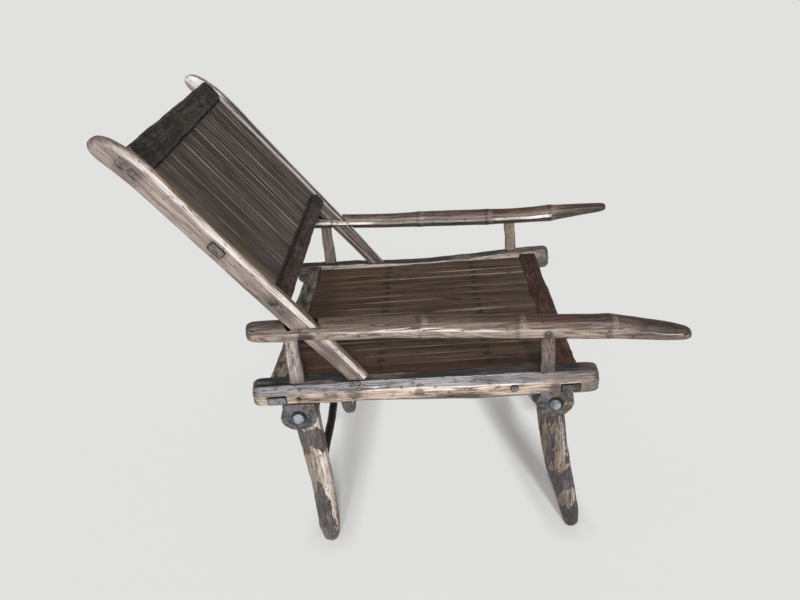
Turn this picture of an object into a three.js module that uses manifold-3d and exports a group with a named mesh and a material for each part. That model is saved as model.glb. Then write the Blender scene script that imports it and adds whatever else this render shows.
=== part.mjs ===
import * as THREE from 'three';
import { mergeVertices } from 'three/addons/utils/BufferGeometryUtils.js';
import Module from 'manifold-3d';

// A low bamboo lounge chair on folding legs. Millimetres, +Z up, +X to the front,
// +Y to the sitter's left. Places along X are counted from the foot of the rear arm posts,
// heights from the floor, and the finished chair is centred over its own footprint.

// Fits between the pieces
const clearance = 0.3;
const bearingPlay = 0.4;
const overrun = 6;

// Axles, which set how high the chair stands
const axleHeight = 367;
const axleRadius = 12;
const axleProud = 3;
const axleEndChamfer = 2;
const rearAxleX = -3;
const frontAxleX = 487;

// Seat rails, two hewn poles with a slight bow, a neck of the hanger's wood above the axles
const railRadius = 28;
const hangerNeck = 4;
const railHeight = axleHeight + axleRadius + hangerNeck + railRadius;
const railHalfSpacing = 302;
const railBow = 4.5;
const railRearReach = 87;
const railFrontReach = 569;

// Arms, which spread and fall towards the front and end in a tapered hand grip
const armInset = 11;
const armSpread = 43;
const armRise = 131;
const armFall = 34;
const armRadius = 22.8;
const armRearReach = 82;
const armFrontReach = 724;
const armHeight = railHeight + armRise;
const armRearHalfSpacing = railHalfSpacing - armInset;

// Arm posts, flat laths with a tenon at each end
const rearPostX = 0;
const frontPostX = 475;
const postLean = 2.5;
const postWidth = 26;
const postDepth = 18;
const postOutset = 4;
const postWear = 3;
const postTenonWidth = 15;
const postTenonDepth = 9;
const postFootTenon = 17;
const postHeadTenon = 12;
const rearHeadTenonShift = 4;

// Back stiles, long tongues that pass through the arms just before the rear posts into the rails
const stileRakeDegrees = 51.7;
const stileArmX = 32.5;
const stileLength = 660;
const stileWidth = 40;
const stileBow = 10;
const stileDepth = 25;
const stileInset = 2.5;
const stileFootDepth = 8;
const slotFrontGap = 6;
const slotRearGap = 8;
const slotSideGap = 1.3;
const stileHalfSpacing = railHalfSpacing - stileInset;

// Bars of the back, placed up the stiles from the rail axis
const topBarPlace = 583;
const topBarWidth = 53;
const topBarThickness = 25;
const topBarFace = 20.5;
const lowBarPlace = 239.5;
const lowBarWidth = 36;
const lowBarThickness = 27;
const lowBarFace = 17.5;
const battenPlace = 388;
const battenWidth = 38;
const battenThickness = 13;
const backTenonThickness = 13;
const backTenonInset = 5;
const backBarWear = 4;

// Slats of the back
const backSlatCount = 27;
const backSlatThickness = 7;
const backSlatFace = 12;
const backSlatGap = 1.2;
const backSlatHousing = 9;
const slatGrip = 0.6;

// Seat bars, battens, cross rod and slats
const rearBarLag = 43;
const frontBarLead = 25.5;
const seatBarRise = 18;
const seatBarWidth = 41;
const seatBarThickness = 31;
const seatTenonWidth = 28;
const seatTenonThickness = 15;
const seatBarWear = 4.5;
const seatSlatCount = 17;
const seatSlatThickness = 8;
const seatSlatSink = 3;
const seatSlatGap = 1.6;
const seatSlatHousing = 8;
const seatSlatMargin = 3.5;
const slatCrown = 1.6;
const rearBattenX = 157;
const frontBattenX = 368;
const seatBattenWidth = 34;
const seatBattenThickness = 10;
const crossRodX = 411;
const crossRodDrop = 1.5;
const crossRodTenonRadius = 7;
const rearBarX = rearAxleX - rearBarLag;
const frontBarX = frontAxleX + frontBarLead;
const seatBarTop = railHeight + seatBarRise;

// Split hangers that carry the axles under the rails
const hangerHalfWidth = 36;
const hangerTopHalfWidth = 33;
const hangerOverhang = 26;
const hangerDepth = 54;
const hangerHorn = 14;
const housingHalfLength = 26;
const housingSink = 6;
const hangerTenonLength = 14;
const hangerTenonDepth = 14;
const hangerTenonRise = 13;
const capDrop = 26;
const hangerOuterFace = railHalfSpacing + hangerOverhang;
const hangerRise = railHeight - hangerHorn - axleHeight;
const axleHalfLength = hangerOuterFace + axleProud;

// Legs, poles that hang inboard of the hangers on the axles
const legGap = 3;
const legWidth = 55;
const legDepth = 42;
const rearLegRake = 14;
const frontLegRake = 47;
const headSkirt = 22;
const hornLap = 14;
const headChamfer = 7;
const stretcherHeight = 178;
const stretcherRadius = 9.5;
const stretcherTenonRadius = 7;
const stretcherTenonLength = 24;
const stretcherCrook = 3;
const legHalfSpacing = hangerOuterFace - hangerDepth - legGap - legDepth / 2;

// Pins that lock the joints
const stilePinRadius = 4;
const postPinRadius = 3;
const pinProud = 0.6;

// Section corners as shares of a turn, from the outward side over the top
const hewnCornerShares = [0.026, 0.08, 0.135, 0.205, 0.28, 0.36, 0.44, 0.52, 0.6, 0.68, 0.76, 0.83, 0.885, 0.955];
const armCornerShares = [0.018, 0.075, 0.13, 0.19, 0.26, 0.33, 0.4, 0.47, 0.54, 0.61, 0.68, 0.75, 0.82, 0.89, 0.955];
const legCornerShares = [0.02, 0.1, 0.16, 0.23, 0.3, 0.38, 0.45, 0.53, 0.6, 0.68, 0.75, 0.83, 0.91, 0.96];

// Stations along the poles as shares of their length, with the width there
const railStationShares = [0, 0.006, 0.035, 0.2, 0.235, 0.27, 0.37, 0.48, 0.63, 0.66, 0.7, 0.9, 0.965, 0.994, 1];
const railRadiusShares = [0.72, 0.88, 0.98, 0.96, 1, 0.965, 0.94, 0.955, 1.0, 1.04, 1.0, 1.02, 1.01, 0.91, 0.78];
const railBowTurnShare = 0.62;
const armStationShares = [0, 0.005, 0.03, 0.122, 0.133, 0.144, 0.392, 0.404, 0.416, 0.61, 0.623, 0.636, 0.812, 0.824,
  0.838, 0.87, 0.92, 0.965, 0.995, 1];
const armHeightShares = [0.64, 0.8, 0.92, 0.93, 0.985, 0.93, 0.95, 1.0, 0.955, 0.98, 1.04, 0.985, 1.0, 1.05,
  0.97, 0.9, 0.78, 0.64, 0.5, 0.38];
const armWidthShares = [0.64, 0.8, 0.95, 0.96, 1.0, 0.96, 0.97, 1.02, 0.975, 1.0, 1.05, 1.0, 0.99, 1.02,
  0.97, 0.94, 0.86, 0.75, 0.57, 0.44];
const armFallStationShares = [0, 0.36, 0.675, 0.83, 0.917, 1];
const armFallShares = [0, 0, 0.29, 0.44, 0.71, 1];
const stileStationShares = [0, 0.066, 0.226, 0.296, 0.5, 0.66, 0.82, 0.92, 0.955, 0.98, 0.993, 1];
const stileWidthShares = [0.74, 0.76, 0.9, 1.0, 1.03, 1.04, 1.11, 1.12, 1.06, 0.92, 0.7, 0.4];
const stileBowShares = [0, 0.06, 0.3, 0.27, 0.33, 0.4, 0.65, 0.6, 0.5, 0.4, 0.3, 0.2];
const legStationShares = [0, 0.02, 0.1, 0.27, 0.42, 0.62, 0.84, 0.94, 1.03];
const legDepthShares = [0.6, 0.7, 0.78, 0.85, 0.9, 0.95, 0.99, 1, 1];
const rearLegWidthShares = [0.46, 0.6, 0.78, 0.83, 0.87, 0.94, 1.01, 1, 0.96];
const rearLegRakeShares = [1, 1, 1, 0.95, 0.87, 0.45, 0.05, 0, 0];
const frontLegWidthShares = [0.36, 0.47, 0.58, 0.73, 0.85, 0.93, 1, 1, 0.96];
const frontLegRakeShares = [1, 1, 0.93, 0.68, 0.44, 0.2, 0.05, 0, 0];
const seatSlatWidthShares = [1, 0.94, 1.03, 0.98, 1.05, 0.95];
const backSlatWidthShares = [1, 0.93, 1.04, 0.97, 1.02, 0.9, 1.06];

const rake = THREE.MathUtils.degToRad(stileRakeDegrees);
const wasm = await Module();
wasm.setup();

// Solids: turning a geometry into a solid and back, and cutting or joining it
function toSolid(geometry) {
  const bare = geometry.index ? geometry.toNonIndexed() : geometry.clone();
  bare.deleteAttribute('normal');
  bare.deleteAttribute('uv');
  const merged = mergeVertices(bare, clearance * 1e-3);
  return new wasm.Manifold(new wasm.Mesh({
    numProp: 3,
    vertProperties: new Float32Array(merged.attributes.position.array),
    triVerts: new Uint32Array(merged.index.array),
  }));
}

function toGeometry(solid) {
  const mesh = solid.getMesh();
  const geometry = new THREE.BufferGeometry();
  geometry.setAttribute('position', new THREE.BufferAttribute(mesh.vertProperties, 3));
  geometry.setIndex(new THREE.BufferAttribute(mesh.triVerts, 1));
  return geometry;
}

function cut(geometry, cutters) {
  const solid = cutters.reduce((rest, cutter) => rest.subtract(toSolid(cutter)), toSolid(geometry));
  return toGeometry(solid);
}

function join(geometries) {
  return toGeometry(geometries.map(toSolid).reduce((sum, next) => sum.add(next)));
}

function signedVolume(points, faces) {
  return faces.reduce((sum, [a, b, c]) => sum + points[a].dot(points[b].clone().cross(points[c])), 0);
}

// A closed loft through rings that all have the same number of points
function loft(rings) {
  const sides = rings[0].length;
  const points = rings.flat();
  const faces = [];
  for (let level = 0; level < rings.length - 1; level++) {
    for (let side = 0; side < sides; side++) {
      const next = (side + 1) % sides;
      const low = level * sides;
      const high = low + sides;
      faces.push([low + side, low + next, high + next], [low + side, high + next, high + side]);
    }
  }
  const lastLow = (rings.length - 1) * sides;
  for (let side = 1; side < sides - 1; side++) {
    faces.push([0, side + 1, side], [lastLow, lastLow + side, lastLow + side + 1]);
  }
  const inward = signedVolume(points, faces) < 0;
  const ordered = inward ? faces.map(([a, b, c]) => [a, c, b]) : faces;
  const geometry = new THREE.BufferGeometry();
  geometry.setAttribute('position', new THREE.Float32BufferAttribute(points.flatMap((p) => p.toArray()), 3));
  geometry.setIndex(ordered.flat());
  return geometry;
}

// One ring of a pole: corners round a centre, in the plane of two directions
function ring(centre, outward, upward, halfWidth, halfHeight, cornerShares) {
  return cornerShares.map((share) => {
    const angle = share * Math.PI * 2;
    return centre.clone()
      .addScaledVector(outward, Math.cos(angle) * halfWidth)
      .addScaledVector(upward, Math.sin(angle) * halfHeight);
  });
}

// A value read off a table of shares by straight lines between its places
function between(placeShares, valueShares, share) {
  const last = placeShares.length - 1;
  const found = placeShares.findIndex((place, index) => index < last && share <= placeShares[index + 1]);
  const index = found < 0 ? last - 1 : found;
  const part = (share - placeShares[index]) / (placeShares[index + 1] - placeShares[index]);
  return valueShares[index] + (valueShares[index + 1] - valueShares[index]) * part;
}

// A profile pushed out both ways from its centre, lying on two given directions
function extrudeCentred(shape, across, upward, centre, length, curveSegments = 6) {
  const geometry = new THREE.ExtrudeGeometry(shape, { depth: length, bevelEnabled: false, curveSegments });
  geometry.translate(0, 0, -length / 2);
  const normal = across.clone().cross(upward);
  geometry.applyMatrix4(new THREE.Matrix4().makeBasis(across, upward, normal).setPosition(centre));
  return geometry;
}

function rectangle(width, height) {
  const shape = new THREE.Shape();
  shape.moveTo(-width / 2, -height / 2);
  shape.lineTo(width / 2, -height / 2);
  shape.lineTo(width / 2, height / 2);
  shape.lineTo(-width / 2, height / 2);
  return shape;
}

// A rectangle whose corners are worn off
function wornRectangle(width, height, wear) {
  const x = width / 2;
  const y = height / 2;
  return new THREE.Shape([
    new THREE.Vector2(wear - x, -y), new THREE.Vector2(x - wear, -y),
    new THREE.Vector2(x, wear - y), new THREE.Vector2(x, y - wear),
    new THREE.Vector2(x - wear, y), new THREE.Vector2(wear - x, y),
    new THREE.Vector2(-x, y - wear), new THREE.Vector2(-x, wear - y),
  ]);
}

// A split bamboo strip: flat below, crowned above
function slatShape(width, thickness) {
  const x = width / 2;
  const shoulder = thickness - slatCrown;
  return new THREE.Shape([
    new THREE.Vector2(-x, 0), new THREE.Vector2(x, 0),
    new THREE.Vector2(x, shoulder), new THREE.Vector2(x / 2, thickness),
    new THREE.Vector2(-x / 2, thickness), new THREE.Vector2(-x, shoulder),
  ]);
}

const X = new THREE.Vector3(1, 0, 0);
const Y = new THREE.Vector3(0, 1, 0);
const Z = new THREE.Vector3(0, 0, 1);
const upStile = new THREE.Vector3(-Math.cos(rake), 0, Math.sin(rake));
const outOfBack = new THREE.Vector3(Math.sin(rake), 0, Math.cos(rake));

// A round pin or hole across the chair
function crossPin(radius, length, x, y, z, sides = 12) {
  return new THREE.CylinderGeometry(radius, radius, length, sides).translate(x, y, z);
}

// Seat rails
const railLength = railRearReach + railFrontReach;

function railAxisHeight(x) {
  const share = (x + railRearReach) / railLength;
  return railHeight + railBow * Math.cos(share * railBowTurnShare * Math.PI * 2);
}

function railRadiusAt(x) {
  return railRadius * between(railStationShares, railRadiusShares, (x + railRearReach) / railLength);
}

function railPole(side, growth) {
  return loft(railStationShares.map((share, index) => {
    const x = share * railLength - railRearReach;
    const centre = new THREE.Vector3(x, side * railHalfSpacing, railAxisHeight(x));
    const radius = railRadius * railRadiusShares[index] + growth;
    return ring(centre, Y.clone().multiplyScalar(side), Z, radius, radius, hewnCornerShares);
  }));
}

// Arms
const armLength = armRearReach + armFrontReach;

function armCentre(side, share) {
  const halfSpacing = armRearHalfSpacing + armSpread * share;
  const fall = armFall * between(armFallStationShares, armFallShares, share);
  return new THREE.Vector3(share * armLength - armRearReach, side * halfSpacing, armHeight - fall);
}

function armShareAt(x) {
  return (x + armRearReach) / armLength;
}

function armPole(side, growth) {
  return loft(armStationShares.map((share, index) => {
    const halfWidth = armRadius * armWidthShares[index] + growth;
    const halfHeight = armRadius * armHeightShares[index] + growth;
    const outward = Y.clone().multiplyScalar(side);
    return ring(armCentre(side, share), outward, Z, halfWidth, halfHeight, armCornerShares);
  }));
}

// Arm posts: the lath is scribed to the rail and the arm, and its tenons go into both
function postEnds(side, footX) {
  const topX = footX - postLean;
  const top = armCentre(side, armShareAt(topX));
  const foot = new THREE.Vector3(footX, side * (railHalfSpacing + postOutset), railAxisHeight(footX));
  top.y += side * postOutset;
  return { foot, top };
}

function postPlace(side, footX) {
  const { foot, top } = postEnds(side, footX);
  const along = top.clone().sub(foot);
  const length = along.length();
  along.normalize();
  const across = X.clone().addScaledVector(along, -along.x).normalize();
  const depthwise = along.clone().cross(across);
  return { foot, top, along, across, depthwise, length };
}

function postLath(side, footX) {
  const { foot, top, across, depthwise, length } = postPlace(side, footX);
  const middle = foot.clone().lerp(top, 0.5);
  return extrudeCentred(wornRectangle(postWidth, postDepth, postWear), across, depthwise, middle, length);
}

// The two tenons stop short of the axes of the pole they enter
function postTenons(side, footX, growth) {
  const { foot, top, along, across, depthwise } = postPlace(side, footX);
  const shift = footX === rearPostX ? -rearHeadTenonShift : 0;
  const shape = rectangle(postTenonWidth + growth * 2, postTenonDepth + growth * 2);
  const footTop = foot.clone().addScaledVector(along, railRadius + overrun);
  const footLength = postFootTenon + overrun + growth;
  const headLow = top.clone().addScaledVector(along, -armRadius - overrun).addScaledVector(across, shift);
  const headLength = postHeadTenon + overrun + growth;
  return [
    extrudeCentred(shape, across, depthwise, footTop.addScaledVector(along, -footLength / 2), footLength),
    extrudeCentred(shape, across, depthwise, headLow.addScaledVector(along, headLength / 2), headLength),
  ];
}

// Back stiles: places along them are counted up from the rail axis
const stileFootX = stileArmX + armRise / Math.tan(rake);

function backPoint(place, proud, y) {
  return new THREE.Vector3(stileFootX, y, railHeight)
    .addScaledVector(upStile, place)
    .addScaledVector(outOfBack, proud);
}

function stileTongue(side, growth) {
  const length = stileLength + stileFootDepth + growth;
  return loft(stileStationShares.map((share, index) => {
    const bow = stileBow * stileBowShares[index];
    const centre = backPoint(share * length - stileFootDepth - growth, bow, side * stileHalfSpacing);
    const halfWidth = stileWidth / 2 * stileWidthShares[index] + growth;
    const halfDepth = stileDepth / 2 + growth;
    const wear = stileDepth / 8;
    return [
      [-1, -1, 1, 0], [1, -1, -1, 0], [1, -1, 0, 1], [1, 1, 0, -1],
      [1, 1, -1, 0], [-1, 1, 1, 0], [-1, 1, 0, -1], [-1, -1, 0, 1],
    ].map(([w, d, inW, inD]) => centre.clone()
      .addScaledVector(outOfBack, w * halfWidth + inW * wear)
      .addScaledVector(Y, d * halfDepth + inD * wear));
  }));
}

function stileBowAt(place) {
  const share = (place + stileFootDepth) / (stileLength + stileFootDepth);
  return stileBow * between(stileStationShares, stileBowShares, share);
}

// The slot in an arm is longer than its stile, so the stile passes with a gap to each end
function stileSlot(side) {
  const place = armRise / Math.sin(rake);
  const width = stileWidth + slotFrontGap + slotRearGap;
  const proud = stileBowAt(place) + (slotFrontGap - slotRearGap) / 2;
  const shape = rectangle(width, stileDepth + slotSideGap * 2);
  const centre = backPoint(place, proud, side * stileHalfSpacing);
  return extrudeCentred(shape, outOfBack, Y, centre, (armRadius + overrun) * 4);
}

// Bars of the back
const stileInnerFace = stileHalfSpacing - stileDepth / 2;
const stileOuterFace = stileHalfSpacing + stileDepth / 2;

function backBarBody(place, width, thickness, face) {
  const centre = backPoint(place, face - thickness / 2, 0);
  const length = (stileInnerFace - clearance) * 2;
  return extrudeCentred(wornRectangle(width, thickness, backBarWear), upStile, outOfBack, centre, length);
}

function backTenon(place, width, growth) {
  const shape = rectangle(width - backTenonInset * 2 + growth * 2, backTenonThickness + growth * 2);
  return extrudeCentred(shape, upStile, outOfBack, backPoint(place, 0, 0), (stileOuterFace + growth) * 2);
}

const backSlatStart = lowBarPlace + lowBarWidth / 2 - backSlatHousing;
const backSlatEnd = topBarPlace - topBarWidth / 2 + backSlatHousing;

// One groove along a bar takes all the slat ends
function backSlatGroove() {
  const width = backSlatEnd - backSlatStart + clearance * 2;
  const thickness = backSlatThickness + clearance * 2;
  const centre = backPoint((backSlatStart + backSlatEnd) / 2, backSlatFace - backSlatThickness / 2, 0);
  return extrudeCentred(rectangle(width, thickness), upStile, outOfBack, centre, stileInnerFace * 2);
}

function backBar(place, width, thickness, face) {
  const whole = join([backBarBody(place, width, thickness, face), backTenon(place, width, 0)]);
  return cut(whole, [backSlatGroove()]);
}

function backSlat(index) {
  const pitch = (stileInnerFace - clearance) * 2 / backSlatCount;
  const share = backSlatWidthShares[index % backSlatWidthShares.length];
  const width = Math.min((pitch - backSlatGap) * share, pitch - clearance);
  const y = (index + 0.5 - backSlatCount / 2) * pitch;
  const centre = backPoint((backSlatStart + backSlatEnd) / 2, backSlatFace - backSlatThickness, y);
  const length = backSlatEnd - backSlatStart;
  return extrudeCentred(slatShape(width, backSlatThickness), Y, outOfBack, centre, length);
}

// The slats are bound to the batten behind them, which is tenoned into both stiles
function backSlatPanel() {
  const battenFace = backSlatFace - backSlatThickness + slatGrip;
  const batten = backBarBody(battenPlace, battenWidth, battenThickness, battenFace);
  const slats = Array.from({ length: backSlatCount }, (_, index) => backSlat(index));
  return join([batten, backTenon(battenPlace, battenWidth, 0), ...slats]);
}

// Seat bars: shoulders scribed to the round rails, tenons right through them
function seatTenon(x, growth) {
  const centre = new THREE.Vector3(x, 0, railAxisHeight(x));
  const shape = rectangle(seatTenonWidth + growth * 2, seatTenonThickness + growth * 2);
  const length = (railHalfSpacing + railRadius + growth * overrun) * 2;
  return extrudeCentred(shape, X, Z, centre, length);
}

const seatSlatTop = seatBarTop - seatSlatSink;
const seatSlatStart = rearBarX + seatBarWidth / 2 - seatSlatHousing;
const seatSlatEnd = frontBarX - seatBarWidth / 2 + seatSlatHousing;
const seatHalfWidth = railHalfSpacing - railRadius - seatSlatMargin;

function seatSlatGroove() {
  const shape = rectangle(seatSlatEnd - seatSlatStart + clearance * 2, seatSlatThickness + clearance * 2);
  const centre = new THREE.Vector3((seatSlatStart + seatSlatEnd) / 2, 0, seatSlatTop - seatSlatThickness / 2);
  return extrudeCentred(shape, X, Z, centre, (seatHalfWidth + clearance) * 2);
}

function seatBar(x) {
  const centre = new THREE.Vector3(x, 0, seatBarTop - seatBarThickness / 2);
  const shape = wornRectangle(seatBarWidth, seatBarThickness, seatBarWear);
  const body = extrudeCentred(shape, X, Z, centre, railHalfSpacing * 2);
  const scribed = cut(body, [railPole(-1, clearance), railPole(1, clearance)]);
  return cut(join([scribed, seatTenon(x, 0)]), [seatSlatGroove()]);
}

function seatSlat(index) {
  const pitch = seatHalfWidth * 2 / seatSlatCount;
  const share = seatSlatWidthShares[index % seatSlatWidthShares.length];
  const width = Math.min((pitch - seatSlatGap) * share, pitch - clearance);
  const y = (index + 0.5 - seatSlatCount / 2) * pitch;
  const centre = new THREE.Vector3((seatSlatStart + seatSlatEnd) / 2, y, seatSlatTop - seatSlatThickness);
  return extrudeCentred(slatShape(width, seatSlatThickness), Y, Z, centre, seatSlatEnd - seatSlatStart);
}

const slatUnderside = seatSlatTop - seatSlatThickness;

function seatBatten(x) {
  const height = slatUnderside - clearance - seatBattenThickness / 2;
  const shape = wornRectangle(seatBattenWidth, seatBattenThickness, seatBattenThickness / 5);
  return extrudeCentred(shape, X, Z, new THREE.Vector3(x, 0, height), seatHalfWidth * 2);
}

// The cross rod lies just under the slats and ends in round tenons through the rails
const crossRodHeight = railAxisHeight(crossRodX) + crossRodDrop;
const crossRodRadius = slatUnderside - clearance - crossRodHeight;

function crossRodTenon(growth) {
  const length = (railHalfSpacing + railRadiusAt(crossRodX) + growth * overrun) * 2;
  return crossPin(crossRodTenonRadius + growth, length, crossRodX, 0, crossRodHeight, 14);
}

function crossRod() {
  const shoulder = railHalfSpacing - railRadiusAt(crossRodX) - clearance;
  const body = crossPin(crossRodRadius, shoulder * 2, crossRodX, 0, crossRodHeight, 14);
  return join([body, crossRodTenon(0)]);
}

// Split hangers: a block saddled to the rail above the axle and a round keeper cap below it.
// A flat housing in the underside of the rail takes the middle of each block.
function hangerHousing(side, x, growth) {
  const top = railAxisHeight(x) - railRadius + housingSink + growth;
  const height = top - axleHeight;
  const shape = rectangle((housingHalfLength + growth) * 2, height);
  const centre = new THREE.Vector3(x, side * railHalfSpacing, top - height / 2);
  return extrudeCentred(shape, X, Z, centre, (railRadius + overrun) * 2);
}

function hangerTenon(side, x, growth) {
  const shape = rectangle(hangerTenonLength + growth * 2, hangerTenonDepth + growth * 2);
  const low = railAxisHeight(x) - railRadius + housingSink - overrun / 2;
  const length = hangerTenonRise + overrun / 2 + growth;
  return extrudeCentred(shape, X, Y, new THREE.Vector3(x, side * railHalfSpacing, low + length / 2), length);
}

function bearingHole(side, x) {
  const radius = axleRadius + bearingPlay;
  return crossPin(radius, hangerDepth + overrun * 2, x, side * (hangerOuterFace - hangerDepth / 2), axleHeight, 20);
}

function hanger(side, x) {
  const shape = new THREE.Shape([
    new THREE.Vector2(-hangerHalfWidth, clearance / 2), new THREE.Vector2(hangerHalfWidth, clearance / 2),
    new THREE.Vector2(hangerTopHalfWidth, hangerRise), new THREE.Vector2(-hangerTopHalfWidth, hangerRise),
  ]);
  const centre = new THREE.Vector3(x, side * (hangerOuterFace - hangerDepth / 2), axleHeight);
  const block = extrudeCentred(shape, X, Z, centre, hangerDepth);
  const saddle = cut(railPole(side, clearance), [hangerHousing(side, x, 0)]);
  return cut(join([cut(block, [saddle]), hangerTenon(side, x, 0)]), [bearingHole(side, x)]);
}

function hangerCap(side, x) {
  const shape = new THREE.Shape();
  shape.moveTo(-hangerHalfWidth, -clearance / 2);
  shape.bezierCurveTo(-hangerHalfWidth * 0.85, -capDrop * 0.8, -hangerHalfWidth * 0.45, -capDrop, 0, -capDrop);
  shape.bezierCurveTo(hangerHalfWidth * 0.45, -capDrop, hangerHalfWidth * 0.85, -capDrop * 0.8,
    hangerHalfWidth, -clearance / 2);
  const centre = new THREE.Vector3(x, side * (hangerOuterFace - hangerDepth / 2), axleHeight);
  return cut(extrudeCentred(shape, X, Z, centre, hangerDepth), [bearingHole(side, x)]);
}

// An axle turns in its hangers and carries a leg on each side
function axle(x) {
  const profile = [
    new THREE.Vector2(0, -axleHalfLength),
    new THREE.Vector2(axleRadius - axleEndChamfer, -axleHalfLength),
    new THREE.Vector2(axleRadius, axleEndChamfer - axleHalfLength),
    new THREE.Vector2(axleRadius, axleHalfLength - axleEndChamfer),
    new THREE.Vector2(axleRadius - axleEndChamfer, axleHalfLength),
    new THREE.Vector2(0, axleHalfLength),
  ];
  return new THREE.LatheGeometry(profile, 20).translate(x, 0, axleHeight);
}

// Legs: a tapered pole below the axle and a squared or horned head round it
const rearLegs = {
  axleX: rearAxleX, footRake: rearLegRake, widthShares: rearLegWidthShares, rakeShares: rearLegRakeShares,
};
const frontLegs = {
  axleX: frontAxleX, footRake: frontLegRake, widthShares: frontLegWidthShares, rakeShares: frontLegRakeShares,
};

function legShaft(side, { axleX, footRake, widthShares, rakeShares }) {
  return loft(legStationShares.map((share, index) => {
    const x = axleX + footRake * rakeShares[index];
    const centre = new THREE.Vector3(x, side * legHalfSpacing, share * axleHeight);
    const halfWidth = legWidth / 2 * widthShares[index];
    const halfDepth = legDepth / 2 * legDepthShares[index];
    return ring(centre, X, Y, halfWidth, halfDepth, legCornerShares);
  }));
}

const legTopHalfWidth = legWidth / 2 * frontLegWidthShares.at(-1);
const frontHeadRise = seatBarTop - seatBarThickness - clearance - axleHeight;
const rearHeadRise = frontHeadRise + hornLap;

// Round behind so that it turns under the front bar, square in front to stop against it
function frontHead() {
  const shape = new THREE.Shape();
  shape.moveTo(-frontHeadRise, 0);
  shape.absarc(0, 0, frontHeadRise, Math.PI, Math.PI / 2, true);
  shape.lineTo(legTopHalfWidth, frontHeadRise);
  shape.lineTo(legTopHalfWidth, -headSkirt);
  shape.lineTo(-legTopHalfWidth, -headSkirt);
  return shape;
}

// A horn that leans on the front face of the rear bar
function rearHead() {
  const back = rearBarX + seatBarWidth / 2 + clearance - rearAxleX;
  return new THREE.Shape([
    new THREE.Vector2(back, 0), new THREE.Vector2(-legTopHalfWidth, -headChamfer * 2),
    new THREE.Vector2(-legTopHalfWidth, -headSkirt), new THREE.Vector2(legTopHalfWidth, -headSkirt),
    new THREE.Vector2(legTopHalfWidth, headChamfer), new THREE.Vector2(-back - headChamfer, rearHeadRise - headChamfer),
    new THREE.Vector2(-back - headChamfer * 2, rearHeadRise), new THREE.Vector2(back + headChamfer, rearHeadRise),
    new THREE.Vector2(back, rearHeadRise - headChamfer),
  ].reverse());
}

function stretcherX({ axleX, footRake, rakeShares }) {
  return axleX + footRake * between(legStationShares, rakeShares, stretcherShare);
}

function leg(side, legs, headShape) {
  const { axleX } = legs;
  const headCentre = new THREE.Vector3(axleX, side * legHalfSpacing, axleHeight);
  const head = extrudeCentred(headShape, X, Z, headCentre, legDepth);
  const bore = crossPin(axleRadius + clearance, legDepth + overrun * 2, axleX, side * legHalfSpacing, axleHeight, 20);
  return cut(join([legShaft(side, legs), head]), [bore, stretcherTenons(legs, clearance)]);
}

// A slightly crooked stretcher ties the two legs of a pair
const stretcherShare = stretcherHeight / axleHeight;
const stretcherLegDepth = legDepth * between(legStationShares, legDepthShares, stretcherShare);
const stretcherShoulder = legHalfSpacing - stretcherLegDepth / 2 - clearance;

function stretcherTenons(legs, growth) {
  const length = (stretcherShoulder + stretcherTenonLength + growth) * 2;
  return crossPin(stretcherTenonRadius + growth, length, stretcherX(legs), 0, stretcherHeight);
}

function stretcher(legs) {
  const centre = new THREE.Vector3(stretcherX(legs), 0, stretcherHeight);
  const stations = [-1, -0.62, -0.2, 0.25, 0.66, 1];
  const crooks = [0, 0.4, 1, -0.3, -0.8, 0];
  const body = loft(stations.map((share, index) => {
    const at = centre.clone().addScaledVector(Y, share * stretcherShoulder)
      .addScaledVector(X, crooks[index] * stretcherCrook);
    return ring(at, X, Z, stretcherRadius, stretcherRadius, legCornerShares);
  }));
  return join([body, stretcherTenons(legs, 0)]);
}

// Pins: one locks each stile in its arm, one in its rail, and one each post
const armPinPlace = armRise / Math.sin(rake);
const railPinPlace = stileFootDepth * 2;

function stilePin(side, place, pole, growth) {
  const point = backPoint(place, 0, 0);
  const outerFace = pole.halfSpacing + pole.radius;
  const length = pole.radius * 2 + (pinProud + growth) * 2;
  return crossPin(stilePinRadius + growth, length, point.x, side * (outerFace - pole.radius), point.z);
}

function armPinPole() {
  const centre = armCentre(1, armShareAt(backPoint(armPinPlace, 0, 0).x));
  return { halfSpacing: centre.y, radius: armRadius };
}

function railPinPole() {
  return { halfSpacing: railHalfSpacing, radius: railRadiusAt(stileFootX) };
}

function postPin(side, footX, growth) {
  const { top, along } = postPlace(side, footX);
  const shift = footX === rearPostX ? -rearHeadTenonShift : 0;
  const centre = top.clone().addScaledVector(along, postHeadTenon / 2 - armRadius);
  const length = armRadius * 1.5 + growth * overrun;
  return crossPin(postPinRadius + growth, length, centre.x + shift, centre.y, centre.z, 10);
}

// Materials
function bamboo(name, color, roughness) {
  return new THREE.MeshStandardMaterial({ name, color, roughness, metalness: 0 });
}

const finishes = {
  rail: bamboo('weathered_rail', 0x7d6f68, 0.62),
  arm: bamboo('polished_arm', 0x72594c, 0.45),
  stile: bamboo('stile', 0x8d786f, 0.55),
  post: bamboo('post', 0x86756d, 0.6),
  bar: bamboo('dark_bar', 0x43332b, 0.6),
  slat: bamboo('dark_slat', 0x4a3b32, 0.55),
  hanger: bamboo('grey_hanger', 0x4c4745, 0.75),
  leg: bamboo('peeled_leg', 0x85756a, 0.7),
  rod: bamboo('black_rod', 0x26211f, 0.7),
  pin: bamboo('pin', 0x8a8683, 0.7),
};

const chair = new THREE.Group();

function place(name, geometry, finish) {
  const mesh = new THREE.Mesh(geometry, finish);
  mesh.name = name;
  chair.add(mesh);
}

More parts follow.
